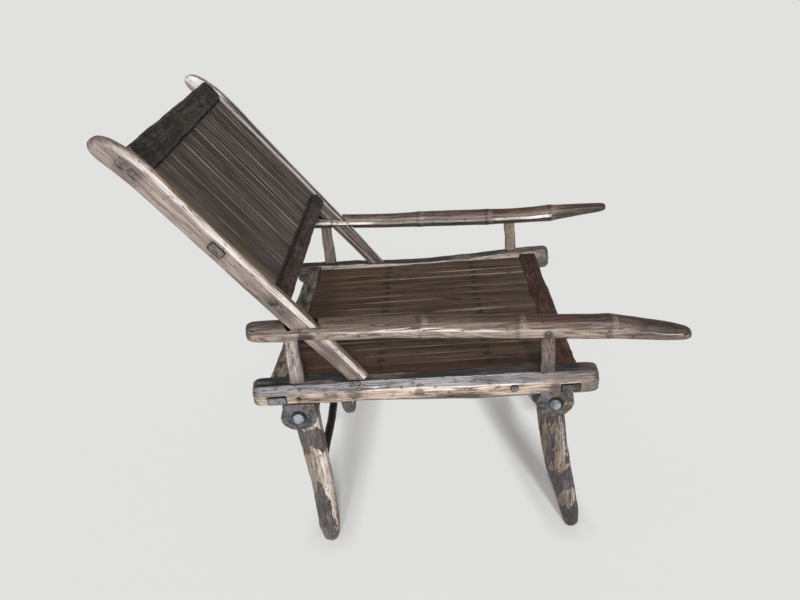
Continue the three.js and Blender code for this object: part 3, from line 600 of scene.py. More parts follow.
# The arm posts are flat laths split from thick cane. Each is shouldered against the rail
# below and the arm above, held by a pin, and leans out with the arm in front.
post_profile = (
    (-1, -0.72), (-0.8, -1), (0.8, -1), (1, -0.72), (1, 0.72), (0.8, 1), (-0.8, 1), (-1, 0.72))
post_half_width, post_half_thickness = 0.013, 0.009
post_outset, post_end_gap = 0.004, 0.012

for end, post_x, post_widths, tones, far_tones in (
    ("rear", -0.2203, (1.13, 1.1, 1.06, 1.02, 0.98, 0.98),
     ("6c615b", "a79c96", "d3cbc5", "332c29"), ("4d443e", "80746b")),
    ("front", 0.2531, (1.1, 1.06, 1, 0.98, 1, 1.04),
     ("463b36", "70605a", "8f8078", "221c1a"), ("55493f", "8d7c6c")),
):
    post_material, place = start_material(f"{end}_post_bamboo")
    base, fibre, _, thread = old_cane(place, tones, (1, 1, 0.06), fineness=1.1, threads=0.8)
    edge = along(place, (1, 0, 0))
    base.cover((edge * edge).step(0.35, 0.8) * 0.75, "3a3230")
    speck = noise(place, 200)
    low_dirt = place.axis("Z").step(0.462, 0.436)
    base.cover(speck.step(0.66, 0.5) * low_dirt * 0.55, "453b37")
    far_side = place.axis("Y").step(-0.1, 0.1)
    base.cover(far_side * 0.75, thread.shades(0.36, 0.58, *far_tones))
    base.cover(speck.step(0.58, 0.68) * 0.8, "2c2522")
    finish_surface(base, 0.6 - 0.15 * fibre, fibre + speck * 0.4, 0.0009)
    for side, outward in both_sides:
        foot_height = rail_middle(post_x, outward).z
        foot = Vector((post_x, outward * (rail_half_spacing + post_outset), foot_height))
        spacing, height = arm_axis(post_x, side)
        head = Vector((post_x - 0.0025, outward * (spacing + post_outset), height))
        rise = (head - foot).length
        rings = []
        for step, width in enumerate(post_widths):
            share = step / (len(post_widths) - 1)
            rings.append((
                post_end_gap + share * (rise - 2 * post_end_gap),
                (0.0012 * sin(step * 2.1 + post_x * 9), 0.0006 * cos(step * 1.7)),
                (post_half_width * width, post_half_thickness * (0.96 + 0.04 * width)),
            ))
        post = grow(f"{end}_post_{side}_lath", post_profile, rings, edge_hold=0.55)
        upward = (head - foot).normalized()
        across = (Vector((1, 0, 0)) - upward * upward.x).normalized()
        lay(post, across, upward.cross(across), foot)
        refine(post, 3)
        roughen(post, 0.012, 0.0016, (1, 1, 3))
        roughen(post, 0.003, 0.0007, (1, 1, 5), detail=3)
        fit(post, post_material, "frame", f"{end}_post_{side}")


# The back stiles are long tongues of thick bamboo wall. They pass down through a slot in
# each arm into the rail, and their outer front edge is worn to a broad slope, painted with a
# highlight.
stile_rake = radians(51.7)
stile_up = Vector((-cos(stile_rake), 0, sin(stile_rake)))
stile_front = Vector((sin(stile_rake), 0, cos(stile_rake)))
stile_foot = Vector((-0.08663, 0, rail_height))
stile_half_spacing = 0.2995
stile_half_width, stile_half_thickness = 0.02, 0.0125
stile_profile = (
    (-0.86, -1), (-0.4, -1), (0.1, -1), (0.56, -0.96), (0.9, -0.4), (1, 0), (1, 0.62),
    (0.84, 0.97), (0.2, 1), (-0.5, 1), (-0.86, 0.97), (-1, 0.62), (-1, -0.62),
)
stile_shape = (
    (-0.002, 0.75, 0.0004), (0.015, 0.76, 0.0006), (0.036, 0.78, 0.0008), (0.09, 0.84, 0.0022),
    (0.143, 0.9, 0.0028), (0.19, 1, 0.0014), (0.26, 1.01, 0.001), (0.326, 1.02, 0.0008),
    (0.38, 1.03, 0.0008), (0.433, 1.04, 0.0014), (0.49, 1.08, 0.0028), (0.54, 1.12, 0.0036),
    (0.575, 1.16, 0.0026), (0.606, 1.16, -0.0006), (0.63, 1.05, -0.0052), (0.644, 0.91, -0.0078),
    (0.653, 0.71, -0.0092), (0.659, 0.45, -0.0102), (0.6615, 0.2, -0.0108),
)


def back_point(up, front, y):
    return stile_foot + stile_up * up + stile_front * front + Vector((0, y, 0))


stile_lean = (0, pi / 2 - stile_rake, 0)
stile_grain = (0, stile_rake - pi / 2, 0)
for side, outward, bend, tip_rise in (
    ("right", -1, ((0, 0.001), (0.1, 0.0006), (0.2, 0), (0.7, 0)), 0.0),
    ("left", 1, ((0, -0.0015), (0.13, -0.0015), (0.25, 0.002), (0.45, 0.0032), (0.7, 0.0038)), 0.008),
):
    stile_rings = []
    for up, width, shift in stile_shape:
        thin = 1.0 if up < 0.64 else 1.0 - 0.45 * ((up - 0.64) / 0.022) ** 2
        bent = shift + read_off(bend, up)
        longer = tip_rise * max(0, (up - 0.45) / 0.21)
        aside = 0.0007 * sin(up * 21)
        half = (stile_half_width * width, stile_half_thickness * thin)
        stile_rings.append((up + longer, (bent, aside), half))
    corners = other_hand(stile_profile, outward, (1, -1))
    stile = grow(f"back_stile_{side}_tongue", corners, stile_rings, edge_hold=0.5, end_hold=0.2)
    lay(stile, stile_front, (0, 1, 0), stile_foot + Vector((0, outward * stile_half_spacing, 0)))
    refine(stile, 3)
    roughen(stile, 0.02, 0.002, (1, 1, 5), turn=stile_grain)
    roughen(stile, 0.0028, 0.0006, (1, 1, 12), turn=stile_grain, detail=3)
    material, place = start_material(f"back_stile_{side}_bamboo")
    base, fibre, blotch, thread = old_cane(
        place, ("5b4f49", "8f8078", "b7a9a2", "302724"), (1, 1, 0.025), stile_lean, fineness=1.5)
    rise = place.axis("Z")
    outer = along(place, (0, outward, 0)).step(0.93, 0.99)
    pale_skin = outer * rise.step(0.62, 0.72) * fibre.step(0.34, 0.52)
    base.cover(pale_skin * 0.75, thread.shades(0.36, 0.56, "75665f", "a5978f"))
    for up, reach in ((0.583, 0.04), (0.388, 0.03), (0.237, 0.042), (0.1, 0.035)):
        stain = near(place, back_point(up, 0.002, outward * 0.31), (reach, 0.05, reach))
        base.cover(stain * outer * blotch.step(0.36, 0.54) * 0.75, "5a4d47")
    rear_edge = along(place, -stile_front).step(0.3, 0.75)
    base.cover(rear_edge * 0.8, fibre.shades(0.35, 0.6, "54402f", "967860"))
    # Painted highlight along the worn front slope.
    slope = along(place, stile_front * 0.76 + Vector((0, outward * 0.65, 0))).step(0.95, 0.993)
    slope_highlight = thread.shades(0.33, 0.5, "93847c", "e2d8d2")
    base.cover(slope * (0.4 + fibre.step(0.38, 0.52) * 0.6), slope_highlight)
    inner = along(place, (0, -outward, 0)).step(0.5, 0.9)
    base.cover(inner, fibre.shades(0.38, 0.6, "372d27", "6f6056"))
    front_run = place.dot(stile_front) - stile_foot.dot(stile_front)
    for centre, half, mask, stripe_tone in (
        (-0.015, 0.0065, 0.8, "5f5046"),
        (-0.0088, 0.0024, 0.8, "26211f"),
        (-0.004, 0.0045, fibre.step(0.4, 0.55) * 0.8, "8f8c8a"),
        (0.0172, 0.0042, fibre.step(0.36, 0.5) * 0.75, "b9b8b9"),
    ):
        base.cover(inner * band(front_run, centre, half) * mask, stripe_tone)
    arris = along(place, stile_front * 0.62 + Vector((0, -outward * 0.78, 0))).step(0.9, 0.97)
    base.cover(arris * 0.85, "1a1716")
    front_strip = along(place, stile_front).step(0.95, 0.99)
    strip_tones = ("3f2f1e", "8a6d4c") if outward < 0 else ("7a7674", "c9c5c2")
    base.cover(front_strip * 0.85, fibre.shades(0.35, 0.6, *strip_tones))
    tip = rise.step(0.83, 0.92)
    if outward < 0:
        base.cover(tip * blotch.step(0.4, 0.54) * 0.35, "6a5b54")
    else:
        base.cover(tip.step(0.3, 0.9) * inner, blotch.shades(0.4, 0.56, "7d7672", "cfc8c4"))
    speck = noise(place, 170, (1, 1, 0.5), turn=stile_lean)
    base.cover(speck.step(0.59, 0.7) * 0.75, "38302c")
    finish_surface(base, 0.46 - 0.14 * fibre, fibre + speck * 0.4 + thread * 0.5, 0.0009)
    fit(stile, material, "frame", f"back_stile_{side}")

# Each slot is cut a little longer than the stile. Its walls take a near-black paint, painted shade for
# the gap in front of the stile and behind it.
gap_material, place = start_material("dark_gap")
shader = place.tree.nodes["Principled BSDF"]
shader.inputs["Base Color"].default_value = colour("0d0b0b")
shader.inputs["Roughness"].default_value = 0.9
shader.inputs["Specular IOR Level"].default_value = 0.1

slot_up = (arm_height - rail_height) / sin(stile_rake)
slot_width, cutter_length = 0.031, 0.12
for side, outward, slot_long, slot_front in (("right", -1, 0.052, 0.0045), ("left", 1, 0.044, 0.0015)):
    arm = bpy.data.objects[f"arm_{side}_pole"]
    bpy.ops.mesh.primitive_cube_add(size=1, location=(0, 0, 0))
    cutter = bpy.context.object
    cutter.scale = (slot_long, slot_width, cutter_length)
    bpy.ops.object.transform_apply(location=False, rotation=False, scale=True)
    slot_middle = back_point(slot_up, slot_front, outward * stile_half_spacing)
    lay(cutter, stile_front, (0, 1, 0), slot_middle)
    # The cut walls of the slot take the near-black paint: painted shade.
    cutter.data.materials.append(gap_material)
    reshape(
        arm, "BOOLEAN", operation="DIFFERENCE", solver="EXACT", material_mode="TRANSFER",
        object=cutter)
    bpy.data.objects.remove(cutter)


# The bars of the back are flat lengths of dark old cane, tenoned right through the stiles,
# where their ends show as small grey blocks.
bar_profile = (
    (-0.86, -1), (0, -1), (0.86, -1), (1, -0.72), (1, 0.6),
    (0.84, 0.96), (0, 1.02), (-0.84, 0.96), (-1, 0.6), (-1, -0.72),
)
stile_inner_face = stile_half_spacing - 0.0118
stile_outer_face = stile_half_spacing + 0.0124
tenon_profile = (
    (-0.85, -1), (0.85, -1), (1, -0.8), (1, 0.8), (0.85, 1), (-0.85, 1), (-1, 0.8), (-1, -0.8))


def worn_edges(place, low, high):
    """1 on the arrises of a piece, where its skin is rubbed through."""
    return place.node("ShaderNodeNewGeometry", {}, {}, "Pointiness").step(low, high)


def dark_bar_material(name, tones, drawn, turn=(0, 0, 0), pitted=0.9):
    """Blackened cane with pits eaten into it and rubbed brown on the edges."""
    bar_paint, place = start_material(name)
    base, fibre, _, _ = old_cane(place, tones, drawn, turn, fineness=0.9, threads=0.6)
    pit = noise(place, 85, tuple(part ** 0.25 for part in drawn), turn, detail=6, roughness=0.75)
    base.cover(pit.step(0.48, 0.56) * pitted, "0c0a08")
    base.cover(worn_edges(place, 0.52, 0.58) * fibre.step(0.35, 0.55) * 0.8, "8b7663")
    finish_surface(base, 0.6 - 0.18 * fibre, fibre * 0.6 + (1 - pit), 0.0022, shine=0.25)
    return bar_paint


back_bar_material = dark_bar_material(
    "back_bar_bamboo", ("1a1510", "493d31", "6d5e4c", "080605"), (1, 0.05, 1), stile_lean)
low_bar_material = dark_bar_material(
    "low_bar_bamboo", ("261a15", "573f33", "866e5b", "0c0806"), (1, 0.05, 1), stile_lean)


def end_grain(name, tones):
    """Sawn end grain: grit, a paler crust and black pores."""
    sawn_paint, place = start_material(name)
    dark, light, crust_tone = tones
    grit = noise(place, 240, detail=5, roughness=0.7)
    crust = noise(place, 70)
    base = grit.shades(0.38, 0.62, dark, light)
    base.cover(crust.step(0.5, 0.62) * 0.6, crust_tone)
    base.cover(crust.step(0.45, 0.36) * 0.7, "1d1a19")
    finish_surface(base, 0.7, grit + crust, 0.0016)
    return sawn_paint


end_material = end_grain("tenon_end_grain", ("322c2a", "625a56", "80766f"))
tenon_paints = {
    "front": end_grain("front_tenon_end_grain", ("2a2625", "544e4c", "6b6562")),
    "rear": end_grain("rear_tenon_end_grain", ("4d4f52", "7d8084", "94969a")),
}


let_in_depth = 0.011


def let_in(name, profile, half, paint, point, axis, run, node=""):
    """The end of a tenon or peg in a face, with a black line of shrinkage round it."""
    axis, run = Vector(axis), Vector(run)
    shrinkage = min(0.0015, half[0] * 0.3)
    for part, extra, proud, material, stood_for in (
        ("gap", shrinkage, 0, gap_material, ""),
        ("end", 0, 0.0011, paint, node),
    ):
        wide, tall = half[0] + extra, half[1] + extra
        rings = [(z, (0, 0), (wide, tall)) for z in (-let_in_depth, proud - 0.0009, proud)]
        block = grow(f"{name}_{part}", profile, rings, edge_hold=0.7, end_hold=0.8)
        lay(block, run, axis.cross(run), point)
        refine(block, 2)
        if part == "end":
            roughen(block, 0.005, 0.0014, detail=3)
        fit(block, material, "frame", stood_for)


for name, up, face, width, thickness, tenon, slant, narrowing, paint in (
    ("back_bar_top", 0.5855, 0.0215, 0.056, 0.026, 0.044, 0.0215, 0.1, back_bar_material),
    ("back_bar_low", 0.2418, 0.0175, 0.034, 0.027, 0.036, 0.0048, 0.08, low_bar_material),
    ("back_batten", 0.388, 0.0055, 0.038, 0.013, 0.029, 0.0, 0.0, back_bar_material),
):
    rings = []
    for step in range(15):
        share = step / 14
        far_share = 1 - share
        lift = 0.0007 * sin(step * 2.3 + up * 40) - slant * far_share
        wider = 1 - narrowing * far_share + 0.02 * sin(step * 1.3 + up * 10)
        rings.append((
            (share * 2 - 1) * stile_inner_face,
            (lift, 0.0009 * cos(step * 1.9)),
            (width / 2 * wider, thickness / 2),
        ))
    bar = grow(name + "_lath", bar_profile, rings, edge_hold=0.6, end_hold=0.9)
    lay(bar, -stile_up, stile_front, back_point(up, face - thickness / 2, 0))
    refine(bar, 3)
    roughen(bar, 0.014, 0.0026, (1, 3, 1))
    roughen(bar, 0.0035, 0.0014, (1, 2.5, 1), detail=4)
    fit(bar, paint, "frame", "" if name == "back_batten" else name)
    for side, outward in both_sides:
        end_up = up + (slant if outward > 0 else 0)
        face_point = back_point(end_up, 0.0005, outward * stile_outer_face)
        let_in(
            f"{name}_tenon_{side}", tenon_profile, (tenon / 2, 0.0072), end_material,
            face_point, (0, outward, 0), stile_up)


# The back is filled with narrow strips of split cane, bound side by side to the batten
# behind them. Their ends run in under the two bars.
slat_profile = (
    (-0.94, -1), (0.94, -1), (1, -0.6), (1, 0.35), (0.86, 0.94),
    (0.3, 1), (-0.3, 1), (-0.86, 0.94), (-1, 0.35), (-1, -0.6),
)
back_slat_low, back_slat_high = 0.252, 0.564
back_slat_count = 27
back_slat_pitch = 0.5734 / back_slat_count


def join_all(pieces, name):
    """Joins pieces into one mesh."""
    for piece in pieces:
        piece.select_set(True)
    bpy.context.view_layer.objects.active = pieces[0]
    bpy.ops.object.join()
    joined = bpy.context.object
    joined.name = name
    return joined


back_slats = []
for index in range(back_slat_count):
    random_a = sin(index * 12.9898) * 43758.5453 % 1
    random_b = sin(index * 78.233) * 12543.123 % 1
    top_end = back_slat_high + 0.0225 * index / (back_slat_count - 1) + 0.0015 * random_b
    rings = []
    for step in range(9):
        share = step / 8
        bulge = 0.0008 * sin(step * 0.9 + index * 1.3) + 0.0016 * (random_b - 0.5)
        rings.append((
            back_slat_low + share * (top_end - back_slat_low),
            (0.0006 * sin(step * 1.4 + index * 2), bulge),
            (back_slat_pitch * (0.474 + 0.02 * random_a), 0.0034),
        ))
    slat = grow(f"back_slat_{index + 1:02d}", slat_profile, rings, edge_hold=0.75, end_hold=1.0)
    from_middle = (index - (back_slat_count - 1) / 2) * back_slat_pitch
    lay(slat, (0, -1, 0), stile_front, back_point(0, 0.0085, from_middle))
    refine(slat, 2)
    back_slats.append(slat)
back_panel = join_all(back_slats, "back_slats")
roughen(back_panel, 0.003, 0.0006, (1, 1, 14), turn=stile_grain, detail=3)

material, place = start_material("back_slat_bamboo")
own = place.node("ShaderNodeNewGeometry", {}, {}, "Random Per Island")
base, fibre, _, thread = old_cane(
    place, ("2a231e", "54493f", "7d7063", "0f0c0a"), (1, 1, 0.012), stile_lean,
    fineness=1.7, threads=0.45, cracks=0.9)
up_run = place.dot(stile_up) - stile_foot.dot(stile_up)
across_run = place.axis("Y")
base.cover(own.step(0.4, 0.9) * across_run.step(0.05, -0.22) * 0.45, "4f3829")
olive = fibre.shades(0.38, 0.6, "43331f", "7d6240")
base.cover(across_run.step(-0.249, -0.254) * 0.75, olive)
# Painted shade on the slat sides turned away from the front, for the dark gaps between slats, and
# painted highlights on some sides turned to the front and on the last slat.
gap_side_shade = along(place, (0, 1, 0)).step(0.25, 0.7)
base.cover(gap_side_shade * 0.8, "14100d")
edge_highlight = along(place, (0, -1, 0)).step(0.12, 0.5) * own.step(0.66, 0.76)
base.cover(edge_highlight * fibre.step(0.36, 0.56) * 0.42, "988d80")
last_edge_highlight = along(place, (0, -1, 0)).step(0.1, 0.4) * across_run.step(0.266, 0.272)
base.cover(last_edge_highlight * 0.8, "b08d6b")
# Painted shadow where the slat ends run in under the top bar and the low bar.
base.cover((up_run - across_run * 0.038).step(0.5625, 0.5685), "0d0b09")
base.cover((up_run - across_run * 0.007).step(0.2705, 0.266), "0d0b09")
stain = noise(place, 50, (1, 1, 0.3), turn=stile_lean, detail=4)
base.cover(stain.step(0.58, 0.7) * 0.6, "1d1713")
finish_surface(base, 0.52 - 0.15 * fibre, fibre + thread, 0.001, shine=0.3)
fit(back_panel, material, "frame", "back_slat_panel")


# The seat bars are square cut from dark cane. They fill the width between the rails, go
# through them with tenons and hold the ends of the seat slats in a groove.
seat_bar_profile = (
    (-1, -0.8), (-0.8, -1), (0, -1), (0.82, -1), (1, -0.84), (1, 0),
    (1, 0.84), (0.82, 1), (0, 1), (-0.8, 1), (-1, 0.8),
)
seat_bar_half_height, seat_bar_half_length = 0.0155, 0.291
tenon_half = (0.017, 0.009)

for end, x, half_wide, top, pitted, tones in (
    ("front", 0.2906, 0.0212, 0.4285, 0.4, ("33221b", "55372b", "785848", "150d0a")),
    ("rear", -0.262, 0.0185, 0.4295, 0.75, ("3a342d", "8a7d6e", "ab9e8e", "100d0b")),
):
    rings = []
    for step in range(15):
        share = step / 14
        rings.append((
            (share * 2 - 1) * seat_bar_half_length,
            (0.0008 * sin(step * 1.1 + x * 20), 0.0012 * sin(step * 0.8 + x * 30)),
            (seat_bar_half_height, half_wide * (1 + 0.03 * sin(step * 1.7 + x))),
        ))
    bar = grow(f"seat_bar_{end}_beam", seat_bar_profile, rings, edge_hold=0.6)
    lay(bar, (0, 0, 1), (1, 0, 0), (x, 0, top - seat_bar_half_height))
    refine(bar, 3)
    roughen(bar, 0.016, 0.003, (1, 3, 1))
    roughen(bar, 0.004, 0.0013, (1, 3, 1), detail=4)
    paint = dark_bar_material(f"seat_bar_{end}_bamboo", tones, (1, 0.05, 1), pitted=pitted)
    fit(bar, paint, "frame", f"seat_bar_{end}")
    for side, outward in both_sides:
        down_and_out = flat_facing(outward, x, lower_flat)
        middle = rail_middle(x, outward) + Vector((0.003 if end == "front" else 0.0004, 0, 0))
        face_point = middle + down_and_out * 0.0274 + Vector((0, 0, 0.0015))
        let_in(
            f"seat_bar_{end}_tenon_{side}", tenon_profile, tenon_half, tenon_paints[end],
            face_point, down_and_out, (1, 0, 0))


# The seat slats are wide strips of split cane laid side by side from bar to bar, and
# nailed to two flat battens underneath.
seat_slat_count = 17
seat_slat_pitch = 0.541 / seat_slat_count
seat_slat_widths = (1, 0.985, 1.02, 0.99, 1.03, 0.985)
seat_slat_rear, seat_slat_length = -0.2554, 0.5336
seat_slat_height, seat_slat_half_thickness = 0.4216, 0.004
nail_rows = (-0.0656, 0.1454)


def seat_slat_y(index):
    return (index - (seat_slat_count - 1) / 2) * seat_slat_pitch


slat_material, place = start_material("seat_slat_bamboo")
base, fibre, blotch, thread = old_cane(
    place, ("33271f", "594638", "796656", "0f0b09"), (0.01, 1, 1),
    fineness=1.5, threads=0.4, cracks=0.9)
warm = noise(place, 5, (0.5, 1, 1), detail=2)
base.cover(warm.step(0.45, 0.62) * 0.4, "4f372b")
# Painted shade on the slat sides turned away from the front, for the gaps between slats, and painted
# highlights on some sides turned to the front.
gap_side_shade = along(place, (0, 1, 0)).step(0.25, 0.7)
base.cover(gap_side_shade * 0.85, "120e0c")
own = noise(place, 37, (0, 1, 0), detail=1)
edge_highlight = along(place, (0, -1, 0)).step(0.12, 0.5) * own.step(0.49, 0.55)
base.cover(edge_highlight * fibre.step(0.36, 0.56) * warm.step(0.62, 0.48) * 0.45, "9c8c7f")
base.cover(noise(place, 60, (0.3, 1, 1), detail=4).step(0.58, 0.7) * 0.7, "1a1310")
run = place.axis("X")
across_slat = place.axis("Y") * (tau / seat_slat_pitch)
mid_slat = across_slat.math("COSINE", across_slat).step(0.3, 0.85)
for nail_x in nail_rows:
    base.cover(band(run, nail_x, 0.011) * mid_slat * blotch.step(0.3, 0.5) * 0.7, "15100e")
dark_front = run.step(0.18, 0.28)
base.cover(dark_front * blotch.step(0.4, 0.55) * 0.4, "55504c")
finish_surface(base, 0.66 - 0.14 * fibre, fibre + thread, 0.001, shine=0.2)
for index in range(seat_slat_count):
    random_a = sin(index * 37.719) * 24634.6345 % 1
    own_width = (seat_slat_pitch - 0.0008) * seat_slat_widths[index % len(seat_slat_widths)]
    width = min(own_width, seat_slat_pitch - 0.0002)
    rings = []
    for step in range(11):
        share = step / 10
        bulge = 0.001 * sin(step * 0.8 + index * 1.7) + 0.0018 * (random_a - 0.5)
        rings.append((
            seat_slat_rear + share * seat_slat_length,
            (0.0007 * sin(step * 1.2 + index * 2), bulge),
            (width / 2 * (0.985 + 0.015 * sin(step + index)), seat_slat_half_thickness),
        ))
    slat = grow(f"seat_slat_{index + 1:02d}_strip", slat_profile, rings, edge_hold=0.8, end_hold=1.0)
    lay(slat, (0, 1, 0), (0, 0, 1), (0, seat_slat_y(index), seat_slat_height))
    refine(slat, 2)
    roughen(slat, 0.014, 0.001, (5, 1, 1))
    roughen(slat, 0.0025, 0.0005, (12, 1, 1), detail=3)
    fit(slat, slat_material, "frame", f"seat_slat_{index + 1:02d}")

# The battens and the cross rod lie out of sight under the slats.
under_material = dark_bar_material(
    "under_seat_bamboo", ("2f2621", "5f5046", "7f6e60", "120e0c"), (1, 0.05, 1))
for node in ("seat_batten_rear", "seat_batten_front", "seat_cross_rod"):
    for material_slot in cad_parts[node].material_slots:
        material_slot.material = under_material

# Iron nails hold each seat slat to both battens, and a row of them runs along the front bar.
iron, place = start_material("nail_iron")
rust = noise(place, 400, detail=4)
rusty = rust.shades(0.4, 0.6, "0a0808", "1f1815")
finish_surface(rusty, 0.6, rust, 0.0008)
nail_radius, nail_flattening = 0.0034, 0.45
slat_nail_height, bar_nail_height = 0.4268, 0.4314
bar_nail_count, bar_nail_x, bar_nail_start, bar_nail_pitch = 9, 0.2905, -0.235, 0.058
nail_places = []
for index in range(seat_slat_count):
    for row, nail_x in enumerate(nail_rows):
        stray = 0.004 * sin(index * 5.3 + row * 2.1)
        nail_places.append((nail_x + stray, seat_slat_y(index) + stray * 1.5, slat_nail_height))
for index in range(bar_nail_count):
    nail_x = bar_nail_x + 0.0015 * sin(index * 2.7)
    nail_places.append((nail_x, bar_nail_start + index * bar_nail_pitch, bar_nail_height))
nails = []
for spot in nail_places:
    bpy.ops.mesh.primitive_uv_sphere_add(
        segments=12, ring_count=8, radius=nail_radius, location=spot)
    nail = bpy.context.object
    nail.scale = (1, 1, nail_flattening)
    bpy.ops.object.transform_apply(location=True, rotation=True, scale=True)
    nails.append(nail)
nail_heads = join_all(nails, "seat_nails")
bpy.ops.object.shade_smooth()
fit(nail_heads, iron, "frame")


# Hardwood pegs lock the posts, stiles and cross rod. Their dark ends stand a hair proud,
# with a black ring of shrinkage round them.
peg_material, place = start_material("peg_end")
grit = noise(place, 300, detail=4)
base = grit.shades(0.38, 0.62, "3b3431", "857b75")
finish_surface(base, 0.6, grit, 0.001)
peg_profile = turns([step / 10 for step in range(10)])
cross_rod_x = 0.1884

for side, outward in both_sides:
    for name, x, rise, angle, radius, node in (
        ("rear_post_high", -0.2166, 0.001, upper_flat, 0.0026, f"rear_post_pin_{side}"),
        ("rear_post_low", -0.22, 0.0022, lower_flat, 0.0034, ""),
        ("stile_foot_rear", -0.1156, 0.0045, upper_flat, 0.0034, f"stile_pin_rail_{side}"),
        ("stile_foot_front", -0.1036, 0.005, upper_flat, 0.0034, ""),
        ("stile_foot_low", -0.1016, -0.005, upper_flat, 0.0032, ""),
    ):
        axis = flat_facing(outward, x, angle)
        face_point = rail_middle(x, outward) + axis * rail_flat
        slope_up = Vector((0, -outward * axis.z, abs(axis.y)))
        let_in(
            f"{name}_peg_{side}", peg_profile, (radius, radius), peg_material,
            face_point + slope_up * rise, axis, (1, 0, 0), node)
    axis = flat_facing(outward, cross_rod_x, lower_flat)
    face_point = rail_middle(cross_rod_x, outward) + Vector((0, 0, 0.003)) + axis * 0.028
    let_in(
        f"cross_rod_plug_{side}", peg_profile, (0.0066, 0.0066), peg_material,
        face_point, axis, (1, 0, 0))
    for name, x, rise, reach, radius, node in (
        ("stile_arm_rear", arm_slot_x, 0.0025, 0.0214, 0.0034, f"stile_pin_arm_{side}"),
        ("stile_arm_front", -0.1835, 0.001, 0.0214, 0.0024, ""),
        ("front_post_arm", 0.2484, -0.002, 0.0226, 0.0032, f"front_post_pin_{side}"),
    ):
        spacing, height = arm_axis(x, side)
        girth = read_off(arm_lines[side]["girth"], (x - arm_rear) / (arm_front - arm_rear))
        let_in(
            f"{name}_peg_{side}", peg_profile, (radius, radius), peg_material,
            (x, outward * (spacing + reach * girth), height + rise), (0, outward, 0), (1, 0, 0), node)


# The hangers are split blocks of hard grey root wood: the upper half is saddled to the
# rail and a rounded cap is pegged up under it, so that the axle turns between them.
def from_solid(node, name, grit):
    """A copy of a plain solid, closed up and remeshed so that it can be worn and chipped."""
    choose(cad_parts[node])
    bpy.ops.object.duplicate()
    worn_piece = bpy.context.object
    worn_piece.name = name
    worn_piece.parent = None
    bpy.ops.object.mode_set(mode="EDIT")
    bpy.ops.mesh.select_all(action="SELECT")
    bpy.ops.mesh.remove_doubles(threshold=1e-6)
    bpy.ops.object.mode_set(mode="OBJECT")
    reshape(worn_piece, "REMESH", mode="VOXEL", voxel_size=grit)
    reshape(worn_piece, "SMOOTH", factor=0.5, iterations=3)
    bpy.ops.object.shade_smooth()
    return worn_piece


axle_height = 0.367
axle_places = {"rear": -0.2256, "front": 0.2644}
chip_depth, chip_reach, chip_rise = 0.0055, 0.035, 0.022
for end in ("rear", "front"):
    hanger_material, place = start_material(f"{end}_hanger_root_wood")
    grit = noise(place, 150, detail=6, roughness=0.75)
    blotch = noise(place, 34, detail=5, roughness=0.7)
    wash = noise(place, 14)
    base = (blotch * 0.5 + grit * 0.5).shades(0.42, 0.58, "252426", "69686d")
    base.cover(wash.step(0.48, 0.58) * 0.7, grit.shades(0.4, 0.6, "3a2f26", "75604f"))
    base.cover(worn_edges(place, 0.515, 0.58) * grit.step(0.4, 0.55) * 0.7, "958f89")
    base.cover(grit.step(0.56, 0.66) * 0.85, "121111")
    rise = place.axis("Z")
    split = band(rise, axle_height + 0.0006, 0.0036) * wash.step(0.4, 0.55)
    base.cover(split * 0.55, "a0968a")
    seam = band(rise, axle_height + 0.0002, 0.0012)
    base.cover(seam * 0.8, "100e0e")
    # Painted shadow: a dark crescent in the hole round the axle end, set a little above it.
    ring = near(place, (axle_places[end] + 0.002, 0, axle_height + 0.003), (0.0185, 9.0, 0.0185))
    base.cover(ring.step(0.1, 0.5), "151313")
    finish_surface(base, 0.66, grit + blotch, 0.0026)
    for side in ("right", "left"):
        for part in ("hanger", "hanger_cap"):
            node = f"{end}_{part}_{side}"
            block = from_solid(node, node + "_block", 0.0012)
            for point in block.data.vertices:
                beyond = min(0, (point.co.x - axle_places[end]) / chip_reach)
                raised = min(max((point.co.z - axle_height) / chip_rise, 0), 1)
                point.co.x -= chip_depth * beyond * raised
            roughen(block, 0.014, 0.0028, detail=3)
            roughen(block, 0.004, 0.0016, detail=4)
            fit(block, hanger_material, "frame", node)


# The axles are round sticks whose sawn ends show in the hangers. The legs are fixed on
# them, so they turn with the legs.
axle_material, place = start_material("axle_stick")
grit = noise(place, 130, (1, 0.3, 1), detail=6, roughness=0.7)
base = grit.shades(0.38, 0.62, "231f1d", "4d4640")
sawn = along(place, (0, 1, 0))
smear = noise(place, 60, (1, 0.2, 1), detail=4)
base.cover((sawn * sawn).step(0.35, 0.8), smear.shades(0.38, 0.6, "4d5156", "8f959b"))
base.cover((sawn * sawn).step(0.35, 0.8) * grit.step(0.58, 0.68) * 0.7, "4b4a4b")
finish_surface(base, 0.6, grit, 0.0014)
for end in ("rear", "front"):
    axle = from_solid(f"{end}_axle", f"{end}_axle_stick", 0.0015)
    roughen(axle, 0.012, 0.0016, (1, 2, 1), detail=3)
    fit(axle, axle_material, f"{end}_legs", f"{end}_axle")


